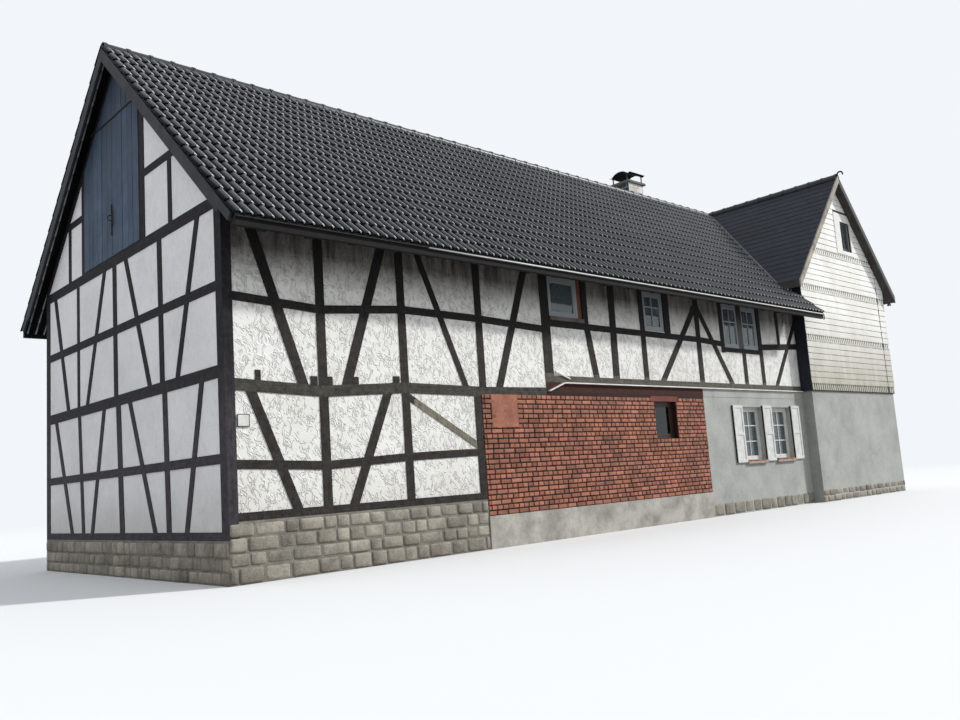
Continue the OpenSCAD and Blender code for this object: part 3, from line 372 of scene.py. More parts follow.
def weathered(name, fresh, worn, patch=600, grain=12, stretch=(1, 1, 1), relief=1.0, rough=0.85,
              tone=0.0, metal=0.0, fleck=0.25, stain=None, marks=(), over=None, shine=0.3):
    """A finish that drifts from fresh to worn in patches, with a stretched grain; sizes in millimetres

    A stain, and each of the marks, is the rest of what those functions take. Over is a function that
    changes the colour once more.
    """
    material, tree, shader, place = start_finish(name, rough, metal, shine)
    drift = add(tree, "ShaderNodeTexNoise", {"Vector": place, "Scale": 1000 / patch, "Detail": 6.0,
                                             "Roughness": 0.65}).outputs["Fac"]
    run = add(tree, "ShaderNodeMapping", {"Vector": place, "Scale": stretch}).outputs[0]
    fine = add(tree, "ShaderNodeTexNoise", {"Vector": run, "Scale": 1000 / grain, "Detail": 5.0,
                                            "Roughness": 0.6}).outputs["Fac"]
    base = add(tree, "ShaderNodeValToRGB", {"Fac": drift}, stops=[(0.38, fresh), (0.66, worn)]).outputs["Color"]
    if stain:
        base = stained(tree, place, base, *stain)
    for mark in marks:
        base = marked(tree, place, base, *mark)
    if over:
        base = over(tree, place, base)
    darker = add(tree, "ShaderNodeMapRange", {"Value": fine, "From Min": 0.3, "From Max": 0.7,
                                              "To Min": 1 - fleck, "To Max": 1 + fleck / 2}).outputs[0]
    own = add(tree, "ShaderNodeAttribute", {}, attribute_name="tone").outputs["Fac"]
    level = add(tree, "ShaderNodeMath", {0: own, 1: tone, 2: darker}, operation="MULTIPLY_ADD")
    colour = add(tree, "ShaderNodeHueSaturation", {"Color": base, "Value": level.outputs[0]})
    bump = add(tree, "ShaderNodeBump", {"Height": fine, "Distance": relief / 1000, "Strength": 1.0})
    tree.links.new(colour.outputs["Color"], shader.inputs["Base Color"])
    tree.links.new(bump.outputs["Normal"], shader.inputs["Normal"])
    return material


# %% [markdown]
# ## Blacked oak with its grain along each timber
# The frame is oak, hewn and sawn, then painted black with tar, which the sun has worn to grey low on the walls. In one
# node run upright posts, leaning braces and level rails, so one straight grain would be wrong for the rails. A ramp
# over the height knows at which levels the rails lie, and picks between a grain stretched level and a grain stretched
# upright. The eye gets long dark checks, a silvery brown below a set height where rain and sun reach, and a dull black
# above it, which is partly weathering and partly painted shade of the eave. Where the black is washed off, as on the
# rail above the brick wall, two paler colours take its place.

# %% The oak finish
LEVEL_GRAIN, UPRIGHT_GRAIN = (1.5, 1.5, 45), (45, 45, 1.5)


def blacked_oak(name, rails, grey_below_shade_above, tar="#0f0e10", brown="#201d1c", silver="#3e3a35", washes=()):
    """Tarred oak, with its grain level in the rails and upright elsewhere

    Rails are the levels of level timbers and grey_below_shade_above the height in mm where the grey begins; above it
    the timber is darker, partly weathering and partly painted shade of the eave. Each wash gives two colours that mix
    in patches over an area.
    """
    material, tree, shader, place = start_finish(name, 0.75, shine=0.15)
    tall = RIDGE_Z / 1000
    parts = add(tree, "ShaderNodeSeparateXYZ", {"Vector": place})
    level = add(tree, "ShaderNodeMath", {0: parts.outputs["Z"], 1: tall}, operation="DIVIDE")
    stops = [(0.0, 0.0)]
    for low, high in rails:
        stops += [(low / 1000 / tall, 1.0), (high / 1000 / tall, 0.0)]
    is_rail = add(tree, "ShaderNodeValToRGB", {"Fac": level.outputs[0]}, stops=stops)
    is_rail.color_ramp.interpolation = "CONSTANT"
    grains = []
    for stretch in (LEVEL_GRAIN, UPRIGHT_GRAIN):
        run = add(tree, "ShaderNodeMapping", {"Vector": place, "Scale": stretch})
        grains.append(add(tree, "ShaderNodeTexNoise", {"Vector": run.outputs[0], "Scale": 1.0, "Detail": 7.0,
                                                       "Roughness": 0.7, "Distortion": 0.6}).outputs["Fac"])
    grain = add(tree, "ShaderNodeMix", {0: is_rail.outputs["Color"], 2: grains[1], 3: grains[0]}).outputs[0]
    patches = add(tree, "ShaderNodeTexNoise", {"Vector": place, "Scale": 9.0, "Detail": 8.0, "Roughness": 0.8})
    # Darker above the set height: weathering, and painted shade of the eave
    height = add(tree, "ShaderNodeMapRange", {
        "Value": parts.outputs["Z"], "From Min": grey_below_shade_above / 1000 - 0.5, "From Max": grey_below_shade_above / 1000 + 0.5,
        "To Min": 0.28, "To Max": 0.0})
    sun = add(tree, "ShaderNodeMath", {0: patches.outputs["Fac"], 1: height.outputs[0]}, operation="ADD")
    mixed = add(tree, "ShaderNodeMath", {0: grain, 1: 0.45, 2: sun.outputs[0]}, operation="MULTIPLY_ADD").outputs[0]
    half = add(tree, "ShaderNodeMath", {0: mixed, 1: 0.5}, operation="MULTIPLY")
    colour = add(tree, "ShaderNodeValToRGB", {"Fac": half.outputs[0]},
                 stops=[(0.30, tar), (0.43, brown), (0.58, silver)]).outputs["Color"]
    flecks = add(tree, "ShaderNodeMapRange", {"Value": mixed, "From Min": 0.72, "From Max": 1.15}).outputs[0]
    for one, other, across, upright in washes:
        wash = add(tree, "ShaderNodeMix", {0: flecks, 6: one, 7: other}, data_type="RGBA").outputs[2]
        colour = marked(tree, place, colour, wash, across, upright)
    rough_grain = add(tree, "ShaderNodeBump", {"Height": grain, "Distance": 0.006, "Strength": 1.0})
    tree.links.new(colour, shader.inputs["Base Color"])
    tree.links.new(rough_grain.outputs["Normal"], shader.inputs["Normal"])
    return material


# %% Four kinds of oak
FRONT_RAILS = [(790, 900), (1480, 1580), (2410, 2900), (3700, 3875), (4820, 5020)]
GABLE_RAILS = [(560, 670), (1560, 1670), (2700, 2830), (3850, 3960), (4980, 5130), (6110, 6220)]
ALL_LEVEL = [(0, 8600)]
MASONRY_BAY = (6110, 15480)
oak_front = blacked_oak("oak_timbers_tarred_front", FRONT_RAILS, 3700,
                        washes=[("#1a1815", "#68645a", MASONRY_BAY, (2738, 2905)),
                                ("#37332d", "#8b8576", (3100, 4350), (1600, 2395))])
oak_gable = blacked_oak("oak_timbers_tarred_gable", GABLE_RAILS, 2600,
                        tar="#151316", brown="#2d2a2c", silver="#4b464a")
# Over the masonry the beam is washed dark red brown: red paint, darkened as painted shade under the drip strip
oak_beams = blacked_oak("oak_beams_weathered", ALL_LEVEL, 3200,
                        tar="#131210", brown="#2b2823", silver="#524f47",
                        washes=[("#1d0f0c", "#45271f", MASONRY_BAY, (2500, 2745))])
# Sawn rafters never had tar: a plain dark brown with an even grain
oak_rafters = weathered("oak_rafters_sawn", "#241f1d", "#3b332d", patch=400, grain=30, stretch=(3, 1, 3), relief=3,
                        shine=0.15)
print("four oak finishes")

# %% [markdown]
# ## Trowelled lime plaster
# The panels between the timbers are lime plaster, dragged with a trowel in short strokes that lean one way or the
# other, then limewashed white. The strokes leave curved ridges a hand's width long, which the low light picks out;
# beside them the colour is darkened a little, partly dirt and partly painted shade of the ridges. Under the eave the
# wash is darkened to a deep brown, partly stains of drips and partly painted shade of the eave, and splashes grey it
# near the ground. Ridges are drawn as the contour lines of two stretched and turned noises, because such lines curve
# and end like real strokes.

# %% The plaster finish
STROKE_LEANS = ((-0.75, 0.0), (0.25, 7.0))
STROKE_LONG = 2.2
STROKE_LEVELS, STROKE_HALF, DIRT_AND_SHADE_ASIDE = (0.42, 0.56), 0.04, 0.03
RIDGE_DIRT_AND_SHADE, SPLASHES = "#6f685c", ("#a39d8f", 1.3, 0.5, 0.5)


def trowelled_plaster(name, wash, shade, ridge_height, ridge_dirt_and_shade, drip):
    """Limewashed plaster with trowel ridges of a height in mm, a share of dirt and painted shade beside them, and a
    stain under the eave of drips and painted shade
    """
    material, tree, shader, place = start_finish(name, 0.9)
    fields = []
    for lean, seed in STROKE_LEANS:
        run = add(tree, "ShaderNodeMapping", {
            "Vector": place, "Location": (seed, seed, seed), "Rotation": (0.0, lean, 0.0),
            "Scale": (1.0, 1.0, STROKE_LONG)}, vector_type="TEXTURE").outputs[0]
        strokes = add(tree, "ShaderNodeTexNoise", {"Vector": run, "Scale": 12.0, "Detail": 1.5,
                                                   "Roughness": 0.55, "Distortion": 0.35}).outputs["Fac"]
        where = add(tree, "ShaderNodeTexNoise", {"Vector": run, "Scale": 15.0, "Detail": 1.0}).outputs["Fac"]
        broken = add(tree, "ShaderNodeMapRange", {"Value": where, "From Min": 0.50, "From Max": 0.56}).outputs[0]
        pair = []
        for aside in (0.0, DIRT_AND_SHADE_ASIDE):
            stops = [(middle + aside + step, full) for middle in STROKE_LEVELS
                     for step, full in ((-STROKE_HALF, 0.0), (0.0, 1.0), (STROKE_HALF, 0.0))]
            drawn = add(tree, "ShaderNodeValToRGB", {"Fac": strokes}, stops=[(0.0, 0.0), *stops]).outputs["Color"]
            pair.append(add(tree, "ShaderNodeMath", {0: drawn, 1: broken}, operation="MULTIPLY").outputs[0])
        fields.append(pair)
    ridges, dirt_and_shade_lines = (add(tree, "ShaderNodeMath", {0: one, 1: other}, operation="MAXIMUM").outputs[0]
                          for one, other in zip(*fields))
    grit = add(tree, "ShaderNodeTexNoise", {"Vector": place, "Scale": 45.0, "Detail": 4.0}).outputs["Fac"]
    relief = add(tree, "ShaderNodeMath", {0: grit, 1: 0.5, 2: ridges}, operation="MULTIPLY_ADD").outputs[0]
    cloud = add(tree, "ShaderNodeTexNoise", {"Vector": place, "Scale": 1.1, "Detail": 6.0, "Roughness": 0.6})
    colour = add(tree, "ShaderNodeValToRGB", {"Fac": cloud.outputs["Fac"]},
                 stops=[(0.35, wash), (0.7, shade)]).outputs["Color"]
    # Beside each ridge the colour darkens: dirt, and painted shade of the ridge
    dirt = add(tree, "ShaderNodeMath", {0: dirt_and_shade_lines, 1: ridge_dirt_and_shade}, operation="MULTIPLY").outputs[0]
    colour = add(tree, "ShaderNodeMix", {0: dirt, 6: colour, 7: RIDGE_DIRT_AND_SHADE}, data_type="RGBA").outputs[2]
    colour = stained(tree, place, colour, *drip)
    colour = stained(tree, place, colour, *SPLASHES)
    bump = add(tree, "ShaderNodeBump", {"Height": relief, "Distance": ridge_height / 1000, "Strength": 1.0})
    tree.links.new(colour, shader.inputs["Base Color"])
    tree.links.new(bump.outputs["Normal"], shader.inputs["Normal"])
    return material


# The front's stain under the eave is a deep brown: drips, and painted shade of the eave
plaster_front = trowelled_plaster("lime_plaster_trowelled_front", "#f0eee8", "#e0ddd5", 10, 0.30,
                                  ("#352d26", 3.95, 4.45, 1.0))
# The gable lies in shade; its copy has a paler wash, painted light that lifts the shade, and less painted shade beside
# its ridges
plaster_gable = trowelled_plaster("lime_plaster_trowelled_gable", "#f4f2f0", "#e6e3e0", 3, 0.08,
                                  ("#a89c8c", 7.0, 8.4, 0.8))
print("two plaster finishes")

# %% [markdown]
# ## Masonry
# The walls that aren't timber framed are washed brick, rubbed cement render and split rubble. They use the
# weathered recipe with the sizes of their own making. Bricks and stones each have a tone of their own,
# because no two leave the kiln or the quarry alike, and what lies in the joints is darker.

# %% Render, brick and stone
# Cement render rubbed with a felt: a flat grey with soft clouds where rain ran
render_grey = weathered("cement_render_rubbed_grey", "#b0b0aa", "#9b9c97", patch=700, grain=28, stretch=(1, 1, 0.5),
                        relief=3, fleck=0.12)
# A smoothed cement plinth: the same, but splashed darker near the ground
render_plinth = weathered("cement_plinth_smoothed", "#bab6ac", "#8d8981", patch=500, grain=40, relief=3, fleck=0.12)
# Joints under a red wash: nearly black lines between the bricks
mortar_red = weathered("brick_joints_washed_red", "#2b1613", "#1f100e", patch=300, grain=10, relief=4)
# Fired clay under a worn red wash: each brick dull, flecked and a little different
bricks_red = weathered("clay_bricks_washed_red", "#ad715b", "#885a49", patch=380, grain=14, relief=3, tone=0.55,
                       fleck=0.3)
# Cement under the same wash: smooth areas without joints
patch_red = weathered("cement_patch_washed_red", "#ad705a", "#8a5a49", patch=260, grain=26, relief=3, fleck=0.2)
lintel_red = weathered("cement_lintel_washed_red", "#7a4438", "#663a31", patch=400, grain=20, relief=1.5)
# Split sandstone in lime mortar: rough buff and grey stones in a paler bed
rubble = weathered("rubble_stone_split", "#a39c8e", "#7c766b", patch=260, grain=22, relief=6, tone=0.5, fleck=0.3)
rubble_bed = weathered("rubble_bed_lime_mortar", "#8a857b", "#6c685f", patch=200, grain=15, relief=5)
# Cast blocks of the chimney: pale and pitted, and dark grey on the left face
block_cast = weathered("chimney_blocks_cast", "#edeae0", "#cfcabd", patch=240, grain=14, relief=2.5, tone=0.3)
block_dark_face = weathered("chimney_blocks_dark_face", "#42464e", "#343840", patch=240, grain=14, relief=2.5, tone=0.3)
cap_cast = weathered("chimney_cap_cast_dark", "#6f6e6b", "#55544f", patch=200, grain=14, relief=2.5)
# Concrete floated level: an even dull grey
concrete_floated = weathered("floor_concrete_floated", "#8f8e89", "#777671", patch=700, grain=12, relief=0.6)
print("twelve finishes of masonry")

# %% [markdown]
# ## Tiles, slates and shingles
# The main roof's tiles are cast concrete with a smooth coat. Their channels are darkened, partly dust and moss and
# partly painted shade, their crests are lightened, and a pale line on the right flank and a pale tip at the nose of
# each roll are a painted highlight and a painted glint of the sun, so the roof is drawn in fine pale lines on dark
# grey. The finish finds each nose by counting courses up from the eave, and each flank by counting rolls along it. The
# white shingles carry a dark line under each lap in the same way, partly dirt and partly painted shadow of the lap.

# %% Dust, painted shade and painted highlights on the rolls and noses of the roof tiles
TILE_COURSE, TILE_OVERHANG, ROLL_PITCH = 0.330, 0.042, 0.150
FLANK_HIGHLIGHT, TIP_GLINT = (0.59, 0.76), (0.48, 0.80)
COUNT_FROM = 100


def dust_shade_and_highlights_on_rolls(tree, place, base):
    """The channels of the tiles are darkened, as dust and moss and as painted shade, the crests are lightened, and the
    rolls' right flanks and nose tips are painted pale as highlights and glints
    """
    # Channels darker and crests lighter: dust in the channels, with painted shade and painted highlight
    rise = add(tree, "ShaderNodeAttribute", {}, attribute_name="rise").outputs["Fac"]
    clean = add(tree, "ShaderNodeMapRange", {"Value": rise, "From Min": 0.62, "From Max": 1.0,
                                             "To Min": 0.28, "To Max": 1.4}).outputs[0]
    colour = add(tree, "ShaderNodeHueSaturation", {"Color": base, "Value": clean}).outputs["Color"]

    ridge = add(tree, "ShaderNodeVectorMath", {0: place, 1: (0, 0, RIDGE_Z / 1000)}, operation="SUBTRACT").outputs[0]
    folded = add(tree, "ShaderNodeVectorMath", {0: ridge}, operation="ABSOLUTE").outputs[0]
    down = add(tree, "ShaderNodeVectorMath", {0: folded, 1: (0, math.cos(MAIN_PITCH), math.sin(MAIN_PITCH))},
               operation="DOT_PRODUCT").outputs["Value"]
    eave = (RIDGE_Y - MAIN_EAVE_Y) / 1000 / math.cos(MAIN_PITCH) + TILE_OVERHANG
    courses = add(tree, "ShaderNodeMath", {0: down, 1: -1 / TILE_COURSE, 2: eave / TILE_COURSE + 0.015},
                  operation="MULTIPLY_ADD").outputs[0]
    above_nose = add(tree, "ShaderNodeMath", {0: courses}, operation="FRACT").outputs[0]
    nose = add(tree, "ShaderNodeMapRange", {"Value": above_nose, "From Min": 0.05, "From Max": 0.09,
                                            "To Min": 1.0, "To Max": 0.0}).outputs[0]
    crest = add(tree, "ShaderNodeMapRange", {"Value": rise, "From Min": 0.68, "From Max": 0.88}).outputs[0]

    first = (CORNER.x + MAIN_VERGE_X / 1000 - TILE_OVERHANG) / ROLL_PITCH
    along_eave = add(tree, "ShaderNodeSeparateXYZ", {"Vector": place}).outputs["X"]
    rolls = add(tree, "ShaderNodeMath", {0: along_eave, 1: 1 / ROLL_PITCH, 2: COUNT_FROM - first},
                operation="MULTIPLY_ADD").outputs[0]
    across = add(tree, "ShaderNodeMath", {0: rolls}, operation="FRACT").outputs[0]
    # A pale line on each roll's right flank: painted highlight of the sun
    flank, side = (add(tree, "ShaderNodeMath", {0: across, 1: (low + high) / 2, 2: (high - low) / 2},
                       operation="COMPARE").outputs[0] for low, high in (FLANK_HIGHLIGHT, TIP_GLINT))
    fading = add(tree, "ShaderNodeMapRange", {"Value": above_nose, "From Min": 0.0, "From Max": 0.95,
                                              "To Min": 1.0, "To Max": 0.35}).outputs[0]
    flank_highlight = add(tree, "ShaderNodeMath", {0: flank, 1: fading}, operation="MULTIPLY").outputs[0]
    # A pale tip on each nose's crest: painted glint
    tip_glint = add(tree, "ShaderNodeMath", {0: nose, 1: crest}, operation="MULTIPLY").outputs[0]
    tip_glint = add(tree, "ShaderNodeMath", {0: tip_glint, 1: side}, operation="MULTIPLY").outputs[0]
    worn = add(tree, "ShaderNodeMath", {0: tip_glint, 1: flank_highlight}, operation="MAXIMUM").outputs[0]
    shine = add(tree, "ShaderNodeMapRange", {"Value": rise, "From Min": 0.6, "From Max": 0.95,
                                             "To Min": 0.04, "To Max": 0.6}).outputs[0]
    tree.links.new(shine, tree.nodes["Principled BSDF"].inputs["Specular IOR Level"])
    return add(tree, "ShaderNodeMix", {0: worn, 6: colour, 7: "#c6caca"}, data_type="RGBA").outputs[2]


# %% Dirt and painted shadow under the laps of the shingles
LAP_LINE, LAP_DIRT_AND_SHADOW = (0.70, 0.82), "#575349"


def dirt_and_shadow_under_laps(tree, place, base):
    """A thin dark line on each shingle just below the one that laps over it: dirt, and painted shadow of the lap"""
    along = add(tree, "ShaderNodeAttribute", {}, attribute_name="along").outputs["Fac"]
    low, high = LAP_LINE
    line = add(tree, "ShaderNodeMath", {0: along, 1: (low + high) / 2, 2: (high - low) / 2},
               operation="COMPARE").outputs[0]
    streaks = add(tree, "ShaderNodeTexNoise", {"Vector": place, "Scale": 2.5, "Detail": 5.0, "Roughness": 0.7})
    share = add(tree, "ShaderNodeMapRange", {"Value": streaks.outputs["Fac"], "From Min": 0.35, "From Max": 0.6,
                                             "To Min": 0.25, "To Max": 0.85}).outputs[0]
    # A dark line just below each lap: dirt, and painted shadow of the lap
    dirt_and_shadow = add(tree, "ShaderNodeMath", {0: line, 1: share}, operation="MULTIPLY").outputs[0]
    return add(tree, "ShaderNodeMix", {0: dirt_and_shadow, 6: base, 7: LAP_DIRT_AND_SHADOW}, data_type="RGBA").outputs[2]


# %% Finishes of the roofs and of the wing's cladding
# Coated concrete: satin dark grey tiles, each a shade apart
tiles_cast = weathered("concrete_roof_tiles_cast", "#1d1f22", "#2c2e30", patch=1600, grain=9, relief=0.5, rough=0.3,
                       tone=0.35, fleck=0.2, over=dust_shade_and_highlights_on_rolls)
caps_cast = weathered("concrete_ridge_caps_cast", "#25272a", "#37393b", patch=700, grain=9, relief=0.5, rough=0.38,
                      tone=0.4, fleck=0.2)
# Split slate: flat, blue black and nearly matt
slate_split = weathered("roof_slates_split", "#191e28", "#232935", patch=900, grain=16, relief=0.8, rough=0.6,
                        tone=0.25, fleck=0.2, shine=0.25)
# Boards under the wing roof: grey brown, with the grain along the eave
soffit_boards = weathered("soffit_boards_weathered", "#4d4846", "#383534", patch=400, grain=16, stretch=(1, 0.1, 1),
                          relief=1.5)
# Pressed white shingles: clean under the verge, grey and streaked towards the ground
shingles_pressed = weathered("wall_shingles_pressed_white", "#f4f2ec", "#e3dfd5", patch=900, grain=22,
                             stretch=(1, 1, 0.3), relief=0.8, rough=0.7, tone=0.03, fleck=0.06,
                             stain=("#a19a88", 5.0, 2.9, 0.9), over=dirt_and_shadow_under_laps)
# The felt behind them: dark, so that the joints of the narrow bands show
cladding_bed = weathered("cladding_felt_weathered", "#45413a", "#34312c", patch=300, grain=20, relief=1)
# A smooth painted panel round the gable window
panel_painted = weathered("gable_panel_painted_white", "#f0eee9", "#dedbd3", patch=700, grain=22, relief=0.5,
                          rough=0.6, fleck=0.05)
# Dressed lead: soft grey with a dull gleam
lead_dressed = weathered("lead_sheet_dressed", "#4d5259", "#666a70", patch=250, grain=40, relief=1.2, rough=0.5,
                         metal=0.3)
print("eight finishes of roof and cladding")

# %% [markdown]
# ## Boards, paint, metal and clay
# Boards keep their grain, so it is stretched along them. Brushed paint is nearly smooth, and a mark paints the frames
# in the shade of the eave grey, as painted shade. Sheet metal and iron have a fine, even skin, and fired clay changes
# from tile to tile.

# %% Finishes of boards, paint, metal and clay
# Spruce stained blue: slate blue boards with an upright grain, darker under the ridge
boards_blue = weathered("spruce_boards_stained_blue", "#3a485c", "#4d5d71", patch=500, grain=14,
                        stretch=(1, 1, 0.04), relief=1.5, rough=0.7, tone=0.4, fleck=0.3,
                        stain=("#273343", 6.0, 7.9, 0.9))
# The leaf behind the boards: painted almost black, as painted shade in the gaps
leaf_painted_shade = weathered("spruce_leaf_shaded", "#15181d", "#20252c", patch=500, grain=14, stretch=(1, 1, 0.04), relief=1)
# White window paint: dark brown in the brick wall's opening and grey under the eave, both painted shade, a dark post
# and a dark gable window
FRAME_MARKS_AND_SHADE = [("#3a2a25", (9230, 9990), (1670, 2440)), ("#93979a", (6300, 13640), (3600, 4720)),
               ("#2b2725", (12765, 12985), (3680, 4690)), ("#46474a", (18140, 18700), (6630, 7450))]
paint_white = weathered("window_paint_brushed_white", "#dededa", "#c6c4bd", patch=200, grain=8, relief=0.2,
                        rough=0.4, tone=0.08, fleck=0.05, marks=FRAME_MARKS_AND_SHADE)
# Painted sheet: a bright thin line, which fades to dark towards the left end of the eave; the CAD strip behind the
# drip edge is painted dark all along, as painted shade under the tile noses
STRIP_MARKS_AND_SHADE = [("#1f1d1e", (-300, 5200), (4400, 4700), 3600), ("#2b2a29", (-300, 15500), (4564, 4700))]
zinc_rolled = weathered("zinc_strip_painted", "#f0efea", "#d6d5ce", patch=350, grain=30, relief=0.3, rough=0.5,
                        fleck=0.1, marks=STRIP_MARKS_AND_SHADE)
# Fired clay sills in pale mortar: small red brown tiles, no two alike
clay_fired = weathered("clay_sill_tiles_fired", "#9f6451", "#7f4b3d", patch=90, grain=10, relief=0.8, rough=0.6,
                       tone=0.6)
clay_bed = weathered("sill_bed_lime_mortar", "#b7a79b", "#8f8177", patch=120, grain=10, relief=1)
# Barge and eave boards: grey paint on the gable, eave boards painted near black as painted shade under the tile noses,
# bleached wood on the wing's sunny verge
barge_painted = weathered("barge_boards_painted_grey", "#242429", "#34343a", patch=350, grain=18,
                          stretch=(1, 0.1, 0.1), relief=1.5, rough=0.7)
# Near black: painted shade under the tile noses
eave_painted_shade = weathered("eave_boards_painted_shade", "#151314", "#1f1c1d", patch=350, grain=18, stretch=(0.1, 1, 1),
                      relief=1.5, rough=0.7, shine=0.12)
# The mark paints the right slope's barge dark grey: painted shade of the verge
barge_pale = weathered("barge_boards_bleached", "#b0a597", "#7d756c", patch=300, grain=18, stretch=(1, 0.1, 0.1),
                       relief=1.5, rough=0.75, marks=[("#514d4a", (17930, 21000), (4000, 9000))])
# A grey sill board, an oiled jamb board and sawn floor boards
board_grey = weathered("sill_board_weathered_grey", "#6d655e", "#4b4540", patch=220, grain=12, stretch=(0.06, 1, 1),
                       relief=2)
board_brown = weathered("jamb_board_oiled_brown", "#6f4533", "#54352a", patch=220, grain=12, stretch=(1, 1, 0.06),
                        relief=1.5, rough=0.6)
floor_sawn = weathered("floor_boards_sawn", "#8d7152", "#6b543d", patch=500, grain=14, stretch=(0.05, 1, 1), relief=1)
# Bent sheet black with soot, forged iron with a trace of rust, and an enamelled plate
cowl_bent = weathered("chimney_cowl_sheet_sooted", "#17181a", "#2a2725", patch=180, grain=25, relief=0.5, rough=0.6)
iron_black = weathered("iron_forged_black", "#232324", "#3c3430", patch=60, grain=6, relief=0.6, rough=0.55, metal=0.5)
plate_enamel = weathered("number_plate_enamelled", "#e8e8e2", "#d4d2c8", patch=90, grain=6, relief=0.1, rough=0.3)
print("fifteen finishes of boards, paint, metal and clay")

# %% Drawn window glass
# Nearly black pane in the brick wall's opening: painted shade of the room behind
PANE_PAINTED_SHADE = ("#1d1815", (9230, 9990), (1670, 2440))


def drawn_glass(name):
    """Old drawn window glass: clear and slightly green, painted nearly black in the brick wall's opening as painted
    shade, with the faint waves of the drawing
    """
    material, tree, shader, place = start_finish(name, 0.02)
    tree.links.new(marked(tree, place, "#a9b7b9", *PANE_PAINTED_SHADE), shader.inputs["Base Color"])
    shader.inputs["IOR"].default_value = 1.52
    shader.inputs["Transmission Weight"].default_value = 0.85
    waves = add(tree, "ShaderNodeTexNoise", {"Vector": place, "Scale": 6.0, "Detail": 1.0})
    bump = add(tree, "ShaderNodeBump", {"Height": waves.outputs["Fac"], "Distance": 0.002, "Strength": 0.4})
    tree.links.new(bump.outputs["Normal"], shader.inputs["Normal"])
    return material


glass_drawn = drawn_glass("window_glass_drawn")
print(len(bpy.data.materials), "materials so far")

# %% [markdown]
# ## Finishes for the CAD pieces that stay
# Walls, timbers, floors and frames already have their right shapes, so they keep their nodes and only
# change their material. What stays under tiles, bricks, shingles and stones gets the look of the bed
# that shows in the joints.

# %% Assign them
kept = {
    oak_front: "front_frame_lower front_frame_upper back_frame",
    oak_gable: "gable_frame loft_frame",
    oak_beams: "storey_beams",
    oak_rafters: "rafters_front rafters_back",
    plaster_front: "front_infill_lower front_infill_upper back_infill",
    plaster_gable: "gable_infill loft_infill",
    rubble_bed: "base_walls",
    render_plinth: "brick_plinth",
    mortar_red: "brick_wall",
    lintel_red: "brick_lintel",
    render_grey: "rendered_wall wing_ground_walls wing_gable_walls wing_side_walls",
    zinc_rolled: "metal_strips",
    leaf_painted_shade: "doors gable_boards",
    paint_white: "window_frames shutters",
    glass_drawn: "glass_panes",
    board_grey: "sill_board",
    board_brown: "jamb_board",
    clay_bed: "tile_sills",
    barge_painted: "barge_boards",
    eave_painted_shade: "eave_boards",
    barge_pale: "wing_barge_boards",
    cladding_bed: "wing_cladding",
    soffit_boards: "wing_roof_left wing_roof_right",
    tiles_cast: "main_roof_front main_roof_back",
    floor_sawn: "upper_floor loft_floor",
    concrete_floated: "ground_floor",
    caps_cast: "ridge_tiles",
    block_cast: "chimney",
    cap_cast: "chimney_cap",
    cowl_bent: "chimney_cowl",
}
for material, names in kept.items():
    for name in names.split():
        node_mesh = nodes[name].data
        node_mesh.materials.clear()
        node_mesh.materials.append(material)
print(sum(len(names.split()) for names in kept.values()), "nodes have their finish")

# %% [markdown]
# ## Double roll roof tiles
# The main roof is covered with dark concrete tiles of 300 mm cover width, each with two rolls 40 mm
# high, laid in 18 courses of 330 mm. A tile could be a bump pattern, but its rolls break the eave's edge
# and catch a glint at each nose, so one tile is modelled: a grid whose columns are raised into two rolls,
# thickened, and laid with its nose resting on the tile below. It has only a few dozen faces, because
# there are about a thousand on each slope.

# %% Model one tile and find the places for a field of them
TILE_W, TILE_LONG = 0.300, 0.415
TILE_THICK, NOSE_UP, NOSE_ROUND = 0.018, 0.026, 0.012
COLUMNS_PER_ROLL = 6
ROLL_PROFILE = {1: 0.017, 2: 0.034, 3: 0.040, 4: 0.034, 5: 0.017}


def roll_tile():
    """One tile lying flat, its nose at y = 0"""
    bpy.ops.mesh.primitive_grid_add(x_subdivisions=2 * COLUMNS_PER_ROLL, y_subdivisions=2, size=1)
    tile = bpy.context.object
    tile.scale = (TILE_W, TILE_LONG, 1)
    tile.location = (TILE_W / 2, TILE_LONG / 2, 0)
    settle(tile)
    rework(tile, lambda co: abs(co.y - TILE_LONG / 2) < 0.01, bpy.ops.transform.translate,
           value=(0, NOSE_ROUND - TILE_LONG / 2, 0))
    rework(tile, lambda co: co.y < 0.001, bpy.ops.transform.translate, value=(0, 0, -NOSE_ROUND * 0.5))
    column = TILE_W / 2 / COLUMNS_PER_ROLL
    for step, rise in ROLL_PROFILE.items():
        rework(tile, lambda co: round(co.x / column) % COLUMNS_PER_ROLL == step,
               bpy.ops.transform.translate, value=(0, 0, rise))
    finish_with(tile, "SOLIDIFY", thickness=TILE_THICK, offset=-1)
    return tile


def lapped(slope, columns, courses, wide, course, lift, half_bond=False, shake=0.002):
    """The place of each tile or slate of a field: its nose lifted onto the course below"""
    tilt = Matrix.Rotation(-math.asin(lift / course), 4, "X")
    places = []
    for row in range(courses):
        for column in range(-1 if half_bond else 0, columns):
            shift = wide / 2 if half_bond and row % 2 else 0
            spot = Matrix.Translation((column * wide + shift, row * course, lift + random.uniform(0, shake)))
            lean = Matrix.Rotation(random.uniform(-shake, shake) * 2, 4, "Z")
            places.append(slope @ spot @ lean @ tilt)
    return places


def tones(places):
    """A shade of its own for each copy"""
    return [random.uniform(-0.5, 0.5) for _ in places]


# %% Lay both slopes of the main roof up to the valley with the wing
random.seed(4)
MAIN_COLUMNS, MAIN_COURSES = 61, 18
NEAR_VALLEY_X = 14100
VALLEY_FOOT_Y = RIDGE_Y - (RIDGE_Z - wing_roof_z(WING_EAVE_LEFT)) / math.tan(MAIN_PITCH)
VALLEY_LAP = 5
MAIN_END_X = 15480


